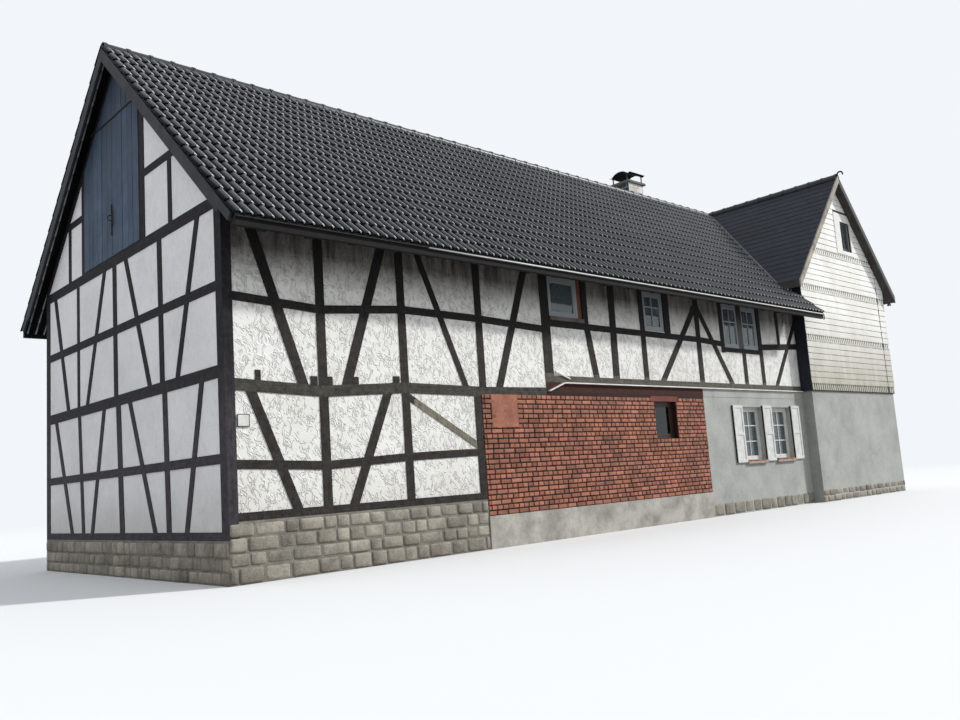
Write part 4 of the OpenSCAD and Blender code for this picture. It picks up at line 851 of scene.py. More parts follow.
def valley_sides(side):
    """The valley's foot and its direction in plan, for the front (-1) or back (1) slope"""
    foot_y = RIDGE_Y + side * (RIDGE_Y - VALLEY_FOOT_Y)
    return foot_y, Vector((WING_RIDGE_X - WING_EAVE_LEFT, RIDGE_Y - foot_y, 0))


for side, name in ((-1, "roof_tiles_front"), (1, "roof_tiles_back")):
    eave_y = RIDGE_Y + side * (RIDGE_Y - MAIN_EAVE_Y)
    normal = (0, side * math.sin(MAIN_PITCH), math.cos(MAIN_PITCH))
    first_x = MAIN_VERGE_X - 1000 * TILE_OVERHANG
    start_x = first_x if side < 0 else first_x + MAIN_COLUMNS * TILE_W * 1000
    slope = slope_frame(house(start_x, eave_y, main_roof_z(eave_y)), (-side, 0, 0), normal)
    slope = slope @ Matrix.Translation((0, -TILE_OVERHANG, 0))
    places = lapped(slope, MAIN_COLUMNS, MAIN_COURSES, TILE_W, TILE_COURSE, NOSE_UP)
    near_x = house(NEAR_VALLEY_X, 0, 0).x
    far = [p for p in places if p.translation.x < near_x]
    near = [p for p in places if p.translation.x >= near_x]
    field = lay_copies(roll_tile(), far, tones(far))
    low = lay_copies(roll_tile(), near, tones(near))
    high = lay_copies(roll_tile(), near, tones(near))
    foot_y, valley = valley_sides(side)
    away = Vector((abs(valley.y), side * abs(valley.x), 0))
    trim(low, house(0, foot_y, 0), (0, -side, 0))
    trim(low, house(MAIN_END_X, 0, 0), (1, 0, 0))
    trim(high, house(0, foot_y, 0), (0, side, 0))
    trim(high, house(WING_EAVE_LEFT - VALLEY_LAP, foot_y, 0), away)
    field = join([field, low, high])
    trim(field, house(0, RIDGE_Y, 0), (0, -side, 0))
    round_off(field, 40)
    wear(field, name, tiles_cast)

# %% [markdown]
# ## Drip edge of the eave
# Below the noses a narrow painted edge catches the sun as a thin white line. It is folded from sheet, so
# it is a thin strip with eased edges that stands just outside the noses. Over the first few metres from
# the gable the line is dark and thinner in the photograph, so that length is a strip of its own.

# %% The drip edge, bright and dark
BRIGHT_FROM_X = 2900
drip_bright = bar_between((BRIGHT_FROM_X, -820, 4544), (MAIN_END_X, -786, 4562), 2)
wear(drip_bright, "eave_drip_edge", zinc_rolled)
drip_dark = bar_between((-190, -818, 4551), (BRIGHT_FROM_X - 4, -786, 4560), 2)
wear(drip_dark, "eave_drip_edge_left", iron_black)

# %% [markdown]
# ## Ridge caps
# A row of half round caps closes each ridge. Every cap widens into a collar that grips the one before
# it, which gives the ridge its beaded line against the sky. One cap is made from a tube: cut in half,
# thickened, and its end ring pushed out into the collar.

# %% Model one cap and lay both ridges
CAP_LONG, CAP_STEP, CAP_RADIUS, CAP_THICK, SKIRT = 0.43, 0.385, 0.114, 0.016, 0.035
COLLAR_RADIUS, COLLAR_STEP = 0.127, (0.055, 0.065)
CAP_SUNK, CAP_OUT = 62, 12
MAIN_CAPS, WING_CAPS = 47, 21


def ridge_cap():
    """One half round cap along x, its collar at x = 0"""
    bpy.ops.mesh.primitive_cylinder_add(vertices=20, radius=CAP_RADIUS, depth=CAP_LONG, end_fill_type="NOTHING")
    cap = bpy.context.object
    cap.rotation_euler = (0, math.pi / 2, 0)
    cap.location = (CAP_LONG / 2, 0, 0)
    settle(cap)
    for cut in COLLAR_STEP:
        rework(cap, lambda co: True, bpy.ops.mesh.bisect, plane_co=(cut, 0, 0), plane_no=(1, 0, 0))
    rework(cap, lambda co: True, bpy.ops.mesh.bisect, plane_co=(0, 0, -SKIRT), plane_no=(0, 0, -1), clear_outer=True)
    wider = COLLAR_RADIUS / CAP_RADIUS
    rework(cap, lambda co: co.x < sum(COLLAR_STEP) / 2, bpy.ops.transform.resize,
           value=(1, wider, wider), center_override=(0, 0, 0))
    finish_with(cap, "SOLIDIFY", thickness=CAP_THICK, offset=-1)
    return cap


random.seed(5)
ridge_centre = RIDGE_Z - CAP_SUNK
places = []
for k in range(MAIN_CAPS):
    cap_x = MAIN_VERGE_X - CAP_OUT + k * CAP_STEP * 1000
    places.append(Matrix.Translation(house(cap_x, RIDGE_Y, ridge_centre + random.uniform(-2, 2))))
quarter = Matrix.Rotation(math.pi / 2, 4, "Z")
for k in range(WING_CAPS):
    cap_y = WING_VERGE_FRONT - CAP_OUT + k * CAP_STEP * 1000
    places.append(Matrix.Translation(house(WING_RIDGE_X, cap_y, ridge_centre)) @ quarter)
caps = lay_copies(ridge_cap(), places, tones(places))
round_off(caps, 40)
wear(caps, "ridge_caps", caps_cast)
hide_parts("ridge_tiles")

# %% [markdown]
# ## Slates on the wing roof and lead in the valleys
# The wing is covered with thin split slates in half bond, which lie flatter and darker than the tiles.
# One slate is a thin block with broken edges. Where the two roofs meet, the slates are cut along the
# valley, and a strip of dressed lead lies in it, seen in the photograph as a paler line.

# %% Lay the slates and the lead
random.seed(6)
SLATE_W, SLATE_LONG, SLATE_COURSE = 0.250, 0.300, 0.207
SLATE_THICK, SLATE_LIFT, SLATE_GAP = 0.005, 0.007, 0.002
wing_long = (WING_VERGE_BACK - WING_VERGE_FRONT) / 1000
slate_columns = math.ceil(wing_long / SLATE_W) + 1


def slate():
    """One slate lying flat, its lower edge at y = 0"""
    return block((SLATE_GAP, 0, -SLATE_THICK), (SLATE_W - SLATE_GAP, SLATE_LONG, 0), 0.0015)


for side, eave_x, name in ((-1, WING_EAVE_LEFT, "wing_slates_left"), (1, WING_EAVE_RIGHT, "wing_slates_right")):
    normal = (side * math.sin(WING_PITCH), 0, math.cos(WING_PITCH))
    start_y = WING_VERGE_BACK if side < 0 else WING_VERGE_FRONT
    slope = slope_frame(house(eave_x, start_y, wing_roof_z(eave_x)), (0, side, 0), normal)
    slope_long = abs(WING_RIDGE_X - eave_x) / 1000 / math.cos(WING_PITCH)
    slate_courses = math.ceil(slope_long / SLATE_COURSE)
    places = lapped(slope, slate_columns, slate_courses, SLATE_W, SLATE_COURSE, SLATE_LIFT, half_bond=True)
    if side > 0:
        field = lay_copies(slate(), places, tones(places))
    else:
        halves = []
        for end in (-1, 1):
            middle = house(0, RIDGE_Y, 0).y
            own = [p for p in places if (p.translation.y - middle) * end > -SLATE_W * 1.5]
            half = lay_copies(slate(), own, tones(own))
            foot_y, valley = valley_sides(end)
            trim(half, house(WING_EAVE_LEFT + VALLEY_LAP, foot_y, 0), (-abs(valley.y), -end * abs(valley.x), 0))
            halves.append(half)
        field = join(halves)
    for point, outward in (((WING_RIDGE_X, 0, 0), (-side, 0, 0)), ((0, WING_VERGE_FRONT, 0), (0, -1, 0)),
                           ((0, WING_VERGE_BACK, 0), (0, 1, 0))):
        trim(field, house(*point), outward)
    wear(field, name, slate_split)

LEAD_UP = 56
LEAD_BELOW_FOOT, LEAD_SHORT_OF_RIDGE, LEAD_HALF_W, LEAD_HALF_THICK = 0.06, 0.1, 0.042, 0.004
leads = []
for side in (-1, 1):
    foot_y, valley = valley_sides(side)
    foot = house(WING_EAVE_LEFT, foot_y, wing_roof_z(WING_EAVE_LEFT) + LEAD_UP)
    head = house(WING_RIDGE_X, RIDGE_Y, RIDGE_Z + LEAD_UP)
    run = head - foot
    main_normal = Vector((0, side * math.sin(MAIN_PITCH), math.cos(MAIN_PITCH)))
    wing_normal = Vector((-math.sin(WING_PITCH), 0, math.cos(WING_PITCH)))
    lead = block((-LEAD_BELOW_FOOT, -LEAD_HALF_W, -LEAD_HALF_THICK),
                 (run.length - LEAD_SHORT_OF_RIDGE, LEAD_HALF_W, LEAD_HALF_THICK), 0.002)
    lead.matrix_world = slope_frame(foot, run, main_normal + wing_normal)
    leads.append(settle(lead))
wear(join(leads), "valley_leads", lead_dressed)

# %% [markdown]
# ## Cutting a wall into courses
# Bricks, shingles and stones all lie in courses that run between the ends of a wall and stop at its
# openings. One function gives the cuts of a course, and another lays a block in each cut, stretched to
# fit as a bricklayer cuts the last brick.

# %% Cuts of a course, and laying to them
SHORTEST_PIECE = 25


def course_cuts(low, high, pitch, shift=0.0, gaps=(), vary=0.0):
    """The ends of each piece of a course between low and high, in mm, leaving out the gaps"""
    marks, place = [low, high, *[end for gap in gaps for end in gap]], low + shift - pitch
    while place < high:
        marks.append(place)
        place += pitch * random.uniform(1 - vary, 1 + vary)
    marks = sorted(m for m in marks if low <= m <= high)
    return [(a, b) for a, b in zip(marks, marks[1:])
            if b - a > SHORTEST_PIECE and not any(start <= (a + b) / 2 <= end for start, end in gaps)]


def lay_to_cuts(model, size, wall, cuts, joint, proud, shake=0.0, tilt=0.0, askew=0.0):
    """Copies of a block of the given size, one in each (left, right, bottom, top) of a wall, all in mm

    Each may lie in or out by a shake in mm, tilted in radians, and askew by up to an angle in degrees.
    """
    places = []
    for left, right_end, bottom, top in cuts:
        stretch = Matrix.Diagonal(((right_end - left - joint) / size[0], (top - bottom - joint) / size[1], 1, 1))
        lift = (proud + random.uniform(-shake, shake)) / 1000
        lean = Matrix.Rotation(-tilt, 4, "X") @ Matrix.Rotation(math.radians(random.uniform(-askew, askew)), 4, "Z")
        spot = Matrix.Translation(((left + joint / 2) / 1000, (bottom + joint / 2) / 1000, lift))
        places.append(wall @ spot @ lean @ stretch)
    return lay_copies(model, places, tones(places))


# %% [markdown]
# ## The brick infill
# Between the timbers and the grey render the ground floor was walled up in brick, with courses of
# stretchers and headers in turn, 83 mm high with their joints, all washed over in red. Each brick is a
# block with broken edges that stands a few millimetres proud of the dark joints. Near the left end a
# smooth patch of cement under the same wash covers the bricks.

# %% Lay the bricks
random.seed(7)
BRICK_COURSE, BRICK_STEP, BRICK_JOINT, BRICK_FACE = 82.7, 251, 19, (234, 65.7)
BRICK_LEFT, BRICK_RIGHT, BRICK_FOOT, BRICK_HEAD = 4510, 11030, 520, 2500
OPENING, LINTEL = (9240, 9980, 1680, 2430), (9150, 10070, 2430, 2535)
cuts, bottom, row = [], BRICK_FOOT, 0
while bottom + BRICK_COURSE / 2 < BRICK_HEAD:
    top = bottom + BRICK_COURSE
    gaps = [(hole[0], hole[1]) for hole in (OPENING, LINTEL) if hole[2] < (bottom + top) / 2 < hole[3]]
    headers = row % 2 == 1
    step = BRICK_STEP / 2 if headers else BRICK_STEP
    shift = BRICK_STEP * (0.25 if headers or row % 4 == 2 else 0.75)
    cuts += [(a, b, bottom, top) for a, b in course_cuts(BRICK_LEFT, BRICK_RIGHT, step, shift, gaps, vary=0.06)]
    bottom, row = top, row + 1
front_wall = slope_frame(house(0, 0, 0), (1, 0, 0), (0, -1, 0))
brick = block((0, 0, -0.030), (BRICK_FACE[0] / 1000, BRICK_FACE[1] / 1000, 0), 0.009)
bricks = lay_to_cuts(brick, BRICK_FACE, front_wall, cuts, BRICK_JOINT, proud=14, shake=6, askew=1.2)
wear(bricks, "red_bricks", bricks_red)
patch = bar_between((4715, -18, 1945), (5335, 4, 2497), 8)
wear(patch, "brick_wall_patch", patch_red)

# %% [markdown]
# ## Render drawn over the beam
# Over the grey wall the beam that carries the upper storey is hidden under the render, which was drawn up
# to the drip strip. A thin coat with eased edges repeats that.

# %% The coat over the beam
coat = bar_between((BRICK_RIGHT, -7, 2545), (MAIN_END_X - 4, 4, 2716), 3)
wear(coat, "render_over_beam", render_grey)

# %% [markdown]
# ## Rubble stones of the base
# The timber walls stand on a base of split rubble in lime mortar, with stones of many widths in rough
# courses. One stone is a block rounded by a wide bevel; laid in uneven cuts, no two come out alike.

# %% Lay the stones round the foot of the walls
random.seed(8)
STONE_FACE, STONE_STEP, STONE_COURSE, STONE_JOINT = (300, 180), 330, 185, 14
LOWEST_COURSE = 70
MAIN_DEEP, MAIN_LONG = 2 * RIDGE_Y, 15470
WING_X, WING_Y = (15480, 20350), (-260, 7390)
WING_WIDE, WING_DEEP = WING_X[1] - WING_X[0], WING_Y[1] - WING_Y[0]


def stone_cuts(left, right_end, head):
    """Uneven courses of stones in a length of wall, from the ground up"""
    found, low = [], 0
    while low < head - 40:
        high = min(head, low + STONE_COURSE * random.uniform(0.8, 1.2))
        if head - high < LOWEST_COURSE:
            high = head
        ends = course_cuts(left, right_end, STONE_STEP, random.uniform(60, 250), vary=0.4)
        found += [(a, b, low, high) for a, b in ends]
        low = high
    return found


def stone():
    """One rounded stone, 300 mm wide and 180 mm high"""
    rough = block((0, 0, -0.09), (STONE_FACE[0] / 1000, STONE_FACE[1] / 1000, 0), 0)
    finish_with(rough, "BEVEL", width=0.032, segments=2)
    round_off(rough, 70)
    return rough


gable_wall = slope_frame(house(0, MAIN_DEEP, 0), (0, -1, 0), (-1, 0, 0))
back_wall = slope_frame(house(MAIN_END_X, MAIN_DEEP, 0), (-1, 0, 0), (0, 1, 0))
wing_front = slope_frame(house(WING_X[0], WING_Y[0], 0), (1, 0, 0), (0, -1, 0))
wing_right = slope_frame(house(WING_X[1], WING_Y[0], 0), (0, 1, 0), (1, 0, 0))
wing_back = slope_frame(house(WING_X[1], WING_Y[1], 0), (-1, 0, 0), (0, 1, 0))
lengths = []
for wall, left, right_end, head, proud in (
        (gable_wall, 0, MAIN_DEEP, 540, 16), (back_wall, 0, MAIN_LONG, 770, 16), (wing_front, 0, WING_WIDE, 300, 16),
        (wing_right, 0, WING_DEEP, 300, 16), (wing_back, 0, WING_WIDE, 300, 16), (front_wall, 0, 4500, 770, 16),
        (front_wall, 11040, MAIN_LONG, 270, 14)):
    lengths.append(lay_to_cuts(stone(), STONE_FACE, wall, stone_cuts(left, right_end, head), STONE_JOINT,
                               proud=proud, shake=9))
stones = join(lengths)
round_off(stones, 70)
wear(stones, "rubble_stones", rubble)

# %% [markdown]
# ## White shingles on the wing
# The wing is clad above its ground floor in pale pressed shingles, in courses of about 155 mm that lie
# edge to edge, with bands of narrow upright ones between them, whose open joints show the dark felt.
# Each laps over the one below, so every course throws a thin line of shadow. They are laid to cuts like
# the bricks, leave a slot for an upright joint strip, and are trimmed along the roof slopes.

# %% Courses of the cladding
random.seed(9)
CLAD_FOOT, FIRST_BAND = 2730, 190
NARROW, WIDE = 115, 205
# Each field has a number of rows, their height, and the height of the narrow band above them
CLAD_FIELDS = ((7, 153, 170), (7, 161, 175), (6, 147, 160), (13, 155, 0))
clad_courses = [(CLAD_FOOT, CLAD_FOOT + FIRST_BAND, NARROW)]
for rows, high, band in CLAD_FIELDS:
    for _ in range(rows):
        clad_courses.append((clad_courses[-1][1], clad_courses[-1][1] + high, WIDE))
    if band:
        clad_courses.append((clad_courses[-1][1], clad_courses[-1][1] + band, NARROW))


def cladding_cuts(long, head, holes=(), joint_at=None, narrow=None):
    """The cuts of the courses of one wall, up to a height and round its holes

    Narrow picks only the narrow courses or only the wide ones.
    """
    found = []
    for number, (foot, top, wide) in enumerate(clad_courses):
        if foot > head or narrow is not None and narrow != (wide == NARROW):
            continue
        gaps = [(hole[0], hole[1]) for hole in holes if foot < hole[3] and top > hole[2]]
        if joint_at:
            gaps.append((joint_at - SLOT_HALF, joint_at + SLOT_HALF))
        shift = wide / 2 if number % 2 and wide == WIDE else wide
        found += [(a, b, foot, top) for a, b in course_cuts(0, long, wide, shift, gaps)]
    return found


def shingle():
    """One shingle, 200 mm wide and 190 mm long with its lap, lower edge at y = 0"""
    return block((0, 0, -0.009), (0.200, 0.190, 0), 0.0005)


CLAD_X, CLAD_Y = (15445, 20385), (-295, 7425)
CLAD_W, CLAD_D, CLAD_TALL, CLAD_SIDE_TALL = 4955, 7720, 8450, 5800
PANEL = (17800, 18785, 6520, 7680)
PANEL_HOLE = (PANEL[0] - CLAD_X[0], PANEL[1] - CLAD_X[0], PANEL[2], PANEL[3])
STRIP_X, BACK_STRIP, SLOT_HALF = 19985, 390, 14
SHINGLE_FACE, SHINGLE_TILT, ROOF_UNDER = (200, 150), math.radians(2.6), 190
WIDE_JOINT, NARROW_JOINT = 0.5, 42
clad_front = slope_frame(house(CLAD_X[0], CLAD_Y[0], 0), (1, 0, 0), (0, -1, 0))
clad_right = slope_frame(house(CLAD_X[1], CLAD_Y[0], 0), (0, 1, 0), (1, 0, 0))
clad_back = slope_frame(house(CLAD_X[1], CLAD_Y[1], 0), (-1, 0, 0), (0, 1, 0))


def under_wing_roof(field, sides):
    """Trims a field of shingles under one or both slopes of the wing roof"""
    for side in sides:
        eave_x = WING_EAVE_LEFT if side < 0 else WING_EAVE_RIGHT
        trim(field, house(eave_x, 0, wing_roof_z(eave_x) - ROOF_UNDER),
             (side * math.sin(WING_PITCH), 0, math.cos(WING_PITCH)))


for name, wall, long, head, holes, joint_at, sides in (
        ("shingles_front", clad_front, CLAD_W, CLAD_TALL, [PANEL_HOLE], STRIP_X - CLAD_X[0], (-1, 1)),
        ("shingles_back", clad_back, CLAD_W, CLAD_TALL, [], BACK_STRIP, (-1, 1)),
        ("shingles_right", clad_right, CLAD_D, CLAD_SIDE_TALL, [], None, (1,))):
    bands = [lay_to_cuts(shingle(), SHINGLE_FACE, wall, cladding_cuts(long, head, holes, joint_at, narrow), joint,
                         proud=15, shake=0.2, tilt=SHINGLE_TILT)
             for narrow, joint in ((False, WIDE_JOINT), (True, NARROW_JOINT))]
    field = join(bands)
    under_wing_roof(field, sides)
    wear(field, name, shingles_pressed)

# %% [markdown]
# ## Dark slates on the wing's left wall
# Only a narrow return of this wall shows, beside the long front and above its roof. It has dark slates
# instead of pale shingles, cut along the roof that it rises from.

# %% Lay both returns
RETURN_OUT, RETURN_IN, ROOF_MEETS_Z, INTO_ROOF = 295, 430, 4700, 20
left_wall = slope_frame(house(CLAD_X[0], 0, 0), (0, -1, 0), (-1, 0, 0))
returns = []
for side in (-1, 1):
    edge_y = RIDGE_Y + side * RIDGE_Y
    outer_y, inner_y = edge_y + side * RETURN_OUT, edge_y - side * RETURN_IN
    for near_y, far_y, foot, cut_on_roof in ((outer_y, edge_y, 0, False), (edge_y, inner_y, ROOF_MEETS_Z, True)):
        low, high = sorted((-near_y, -far_y))
        cuts = [(a + low, b + low, foot_z, top) for a, b, foot_z, top in cladding_cuts(high - low, CLAD_SIDE_TALL)
                if top > foot]
        field = lay_to_cuts(shingle(), SHINGLE_FACE, left_wall, cuts, 4, proud=11, shake=1.0, tilt=SHINGLE_TILT)
        under_wing_roof(field, (-1,))
        if cut_on_roof:
            eave_y = RIDGE_Y + side * (RIDGE_Y - MAIN_EAVE_Y)
            trim(field, house(0, eave_y, main_roof_z(eave_y) - INTO_ROOF),
                 (0, -side * math.sin(MAIN_PITCH), -math.cos(MAIN_PITCH)))
        returns.append(field)
wear(join(returns), "wall_slates_left", slate_split)

# %% [markdown]
# ## Boards of the loft door and of the gable top
# The hay door under the ridge has two leaves of upright spruce boards, and the same boards close the gable above it.
# The leaves themselves are CAD nodes; here each board is laid on them with a gap to the next, so that the joints are
# real, and the leaves behind are painted near black as painted shade in the joints. The boards are cut under the
# rafters like the real ones.

# %% Lay the boards
random.seed(10)
BOARD_PROUD, BOARD_GAP, RAFTER_DROP = 0.012, 9, 136.7 + 191.4
BOARD_W, BACK_BOARD_W = 205, 200
LEAVES = ((2640, 3730, 5130, 7480), (3734, 5040, 5130, 7480))
APEX = ((2460, 5220, 7500, 8300),)
BACK_DOOR_AT, BACK_DOOR = (10014, 7100, 0), ((0, 1000, 790, 2450),)


def boards_on(wall, fields, wide):
    """Upright boards of uneven width that fill each (left, right, foot, head) of a wall, in mm"""
    cuts = []
    for left, right_end, foot, head in fields:
        number = round((right_end - left) / wide)
        marks = [left + (right_end - left) * (k + random.uniform(-0.12, 0.12)) / number for k in range(1, number)]
        marks = [left, *marks, right_end]
        cuts += [(a, b, foot, head) for a, b in zip(marks, marks[1:])]
    plank = block((0, 0, -BOARD_PROUD - 0.004), (0.2, 2.0, 0), 0.003)
    return lay_to_cuts(plank, (200, 2000), wall, cuts, BOARD_GAP, BOARD_PROUD * 1000, shake=2)


for name, areas in (("loft_door_boards", LEAVES), ("gable_top_boards", APEX)):
    fields = [(MAIN_DEEP - b, MAIN_DEEP - a, foot, head) for a, b, foot, head in areas]
    planks = boards_on(gable_wall, fields, BOARD_W)
    for side in (-1, 1):
        eave_y = RIDGE_Y + side * (RIDGE_Y - MAIN_EAVE_Y)
        trim(planks, house(0, eave_y, main_roof_z(eave_y) - RAFTER_DROP - 2),
             (0, side * math.sin(MAIN_PITCH), math.cos(MAIN_PITCH)))
    wear(planks, name, boards_blue)
back_door_face = slope_frame(house(*BACK_DOOR_AT), (-1, 0, 0), (0, 1, 0))
back_planks = boards_on(back_door_face, BACK_DOOR, BACK_BOARD_W)
wear(back_planks, "back_door_boards", boards_blue)

# %% [markdown]
# ## Ironwork of the loft door
# A bar runs along the head of the door and ends in a small hook, and a thumb latch with a long bolt sits
# at the meeting edge of the leaves. They are bent and forged, so the bar's hook is spun round an axis
# and the latch is a plate with a spun ring.

# %% Forge the bar, the hook and the latch


def spun_hook(centre, radius, thick, turn_axis, start, sweep, steps=10):
    """A round rod bent into an arc: a small disc at the start, spun round the centre"""
    axis = Vector(turn_axis).normalized()
    bpy.ops.mesh.primitive_circle_add(vertices=8, radius=thick / 2, fill_type="NGON")
    rod = bpy.context.object
    arm = Vector(start).normalized()
    facing = axis.cross(arm).to_track_quat("Z", "Y").to_matrix().to_4x4()
    rod.matrix_world = Matrix.Translation(Vector(centre) + arm * radius) @ facing
    settle(rod)
    rework(rod, lambda co: True, bpy.ops.mesh.spin, steps=steps, angle=math.radians(sweep), center=centre, axis=axis)
    rework(rod, lambda co: True, bpy.ops.mesh.remove_doubles, threshold=0.0001)
    rework(rod, lambda co: True, bpy.ops.mesh.normals_make_consistent, inside=False)
    round_off(rod, 50)
    return rod


DOOR_HEAD_Z = 7490
head_bar = bar_between((-34, 2500, DOOR_HEAD_Z - 14), (-14, 4700, DOOR_HEAD_Z + 14), 6)
bar_hook = spun_hook(house(-24, 2500, DOOR_HEAD_Z + 55), 0.055, 0.024, (1, 0, 0), (0, 0, -1), -200)
latch_plate = bar_between((-22, 3690, 5640), (-10, 3775, 5900), 4)
latch_bolt = bar_between((-34, 3722, 5480), (-18, 3746, 6010), 5)
latch_ring = spun_hook(house(-42, 3734, 5770), 0.045, 0.016, (0, 1, 0), (0, 0, 1), 360, 14)
wear(join([head_bar, bar_hook, latch_plate, latch_bolt, latch_ring]), "loft_door_ironwork", iron_black)

# %% [markdown]
# ## Sashes and glazing bars
# Behind each frame sits a sash, a thinner frame that holds the glass, with bars that divide it: none in
# the first upper window and in the brick wall, a cross in the other upper ones, three rows of panes
# downstairs and one upright bar in the gable. The bars are real strips in front of the glass, because
# they cast small shadows on it.

# %% Fit the sashes
SASH_W, SASH_D, BAR_W = 42, 30, 24


def sash(left, foot, wide, tall, face_y, cross_at=(), post_at=()):
    """A sash of four rails with level bars and upright bars at shares of its height and width"""
    right_end, head = left + wide, foot + tall
    back_y = face_y + SASH_D
    parts = [bar_between((left, face_y, foot), (left + SASH_W, back_y, head), 3),
             bar_between((right_end - SASH_W, face_y, foot), (right_end, back_y, head), 3),
             bar_between((left + SASH_W, face_y, foot), (right_end - SASH_W, back_y, foot + SASH_W), 3),
             bar_between((left + SASH_W, face_y, head - SASH_W), (right_end - SASH_W, back_y, head), 3)]
    for share in cross_at:
        z = foot + tall * share
        parts.append(bar_between((left + SASH_W, face_y + 6, z - BAR_W / 2),
                                 (right_end - SASH_W, back_y - 4, z + BAR_W / 2), 3))
    for share in post_at:
        x = left + wide * share
        parts.append(bar_between((x - BAR_W / 2, face_y + 4, foot + SASH_W),
                                 (x + BAR_W / 2, back_y - 6, head - SASH_W), 3))
    return parts


UPPER_FACE, LOWER_FACE, WING_FACE = 30, 105, -230
MIDDLE = (0.5,)
WINDOWS = ((6390, 4005, 700, 625, UPPER_FACE), (9232.5, 3935, 577.5, 695, UPPER_FACE, (0.64,), MIDDLE),
           (12182.5, 3740, 582.5, 890, UPPER_FACE, (0.62,), MIDDLE),
           (12985, 3740, 582.5, 890, UPPER_FACE, (0.62,), MIDDLE),
           (12580, 1190, 745, 1085, LOWER_FACE, (0.34, 0.67), MIDDLE),
           (13910, 1190, 745, 1085, LOWER_FACE, (0.34, 0.67), MIDDLE),
           (9300, 1740, 620, 630, LOWER_FACE), (18210, 6700, 420, 680, WING_FACE, (), MIDDLE))
sashes = join([part for window in WINDOWS for part in sash(*window)])
wear(sashes, "window_sashes", paint_white)

# %% [markdown]
# ## Trim of the gable window, shutters and sills
# The wing's window sits in a smooth painted panel that the shingles run up to, with a dark lead strip on its left edge
# and another up the joint of the cladding, both painted shade standing for the shadow in those gaps. Each shutter is a
# board with rails and stiles laid on its face and a dark strip on either edge, the right one painted shade of the
# opening's edge. The clay sills are rows of single tiles in pale mortar.

# %% Panel of the gable window and joint strips
PANE = (18138, 18702, 6628, 7452)
PANEL_FACE, PANEL_BACK, STRIP_BACK = -314, -240, -290
panel_left, panel_right, panel_foot, panel_head = PANEL
panel_bars = []
for low_x, high_x, low_z, high_z in (
        (panel_left, PANE[0], panel_foot, panel_head), (PANE[1], panel_right, panel_foot, panel_head),
        (PANE[0], PANE[1], panel_foot, PANE[2]), (PANE[0], PANE[1], PANE[3], panel_head)):
    panel_bars.append(bar_between((low_x, PANEL_FACE, low_z), (high_x, PANEL_BACK, high_z), 2))
panel = join(panel_bars)
under_wing_roof(panel, (-1, 1))
wear(panel, "wing_window_panel", panel_painted)
# Dark lead strips at the cladding joint and the panel's left edge: painted shade of the gaps
cladding_joint_shade = bar_between((STRIP_X - 9, -311, CLAD_FOOT), (STRIP_X + 9, STRIP_BACK, CLAD_SIDE_TALL), 1)
panel_edge_shade = bar_between((panel_left - 10, -312, panel_foot), (panel_left, STRIP_BACK, panel_head), 1)
joint_strips = join([cladding_joint_shade, panel_edge_shade])
under_wing_roof(joint_strips, (-1, 1))
wear(joint_strips, "cladding_joint_strips_painted_shade", lead_dressed)

# %% Shutter rails and edges
SHUTTER_LEFTS, SHUTTER_W, SHUTTER_FOOT, SHUTTER_HEAD = (12108, 13397, 14727), 400, 1090, 2370
RAIL, RAIL_FACE, RAIL_BACK = 62, -47, -34
EDGE_W, EDGE_FACE, EDGE_BACK = 6, -36, -4
rails, dark_edges_and_shade = [], []
for left in SHUTTER_LEFTS:
    right_end, middle = left + SHUTTER_W, (SHUTTER_FOOT + SHUTTER_HEAD) / 2
    for low_x, high_x in ((left, left + RAIL), (right_end - RAIL, right_end)):
        rails.append(bar_between((low_x, RAIL_FACE, SHUTTER_FOOT), (high_x, RAIL_BACK, SHUTTER_HEAD), 3))
    # A dark strip on each edge: the left one the shutter's dark edge, the right one painted shade of the opening's
    # edge
    for low_x in (left - EDGE_W, right_end):
        dark_edges_and_shade.append(bar_between((low_x, EDGE_FACE, SHUTTER_FOOT),
                                         (low_x + EDGE_W, EDGE_BACK, SHUTTER_HEAD), 1))
    for z in (SHUTTER_FOOT + RAIL / 2, middle, SHUTTER_HEAD - RAIL / 2):
        rails.append(bar_between((left + RAIL, RAIL_FACE, z - RAIL / 2),
                                 (right_end - RAIL, RAIL_BACK, z + RAIL / 2), 3))
wear(join(rails), "shutter_rails", paint_white)
wear(join(dark_edges_and_shade), "shutter_edges_dark_and_painted_shade", iron_black)

# %% Sill tiles
random.seed(11)
SILL_LEFTS, SILL_STEP, TILES_PER_SILL, SILL_Z = (12520, 13850), 108, 8, 1131
SILL_FALL, SILL_SLOPE = (-74, 10), (0, -0.38, 0.925)
sill_cuts = [(left + k * SILL_STEP, left + (k + 1) * SILL_STEP, *SILL_FALL)
             for left in SILL_LEFTS for k in range(TILES_PER_SILL)]
sill_face = slope_frame(house(0, 0, SILL_Z), (1, 0, 0), SILL_SLOPE)
clay = block((0, 0, -0.016), (0.1, 0.08, 0), 0.005)
sill_tiles = lay_to_cuts(clay, (100, 80), sill_face, sill_cuts, 12, proud=12, shake=2.5)
wear(sill_tiles, "clay_sill_tiles", clay_fired)

# %% [markdown]
# ## Chimney blocks and the small things
# The chimney is built of cast blocks in a half bond, and its left face is dark grey. A bare enamelled plate with a
# dark rim hangs at the corner, a swan neck hangs below the wing's eave, and the front cap of the wing's ridge ends in
# a curled finial.

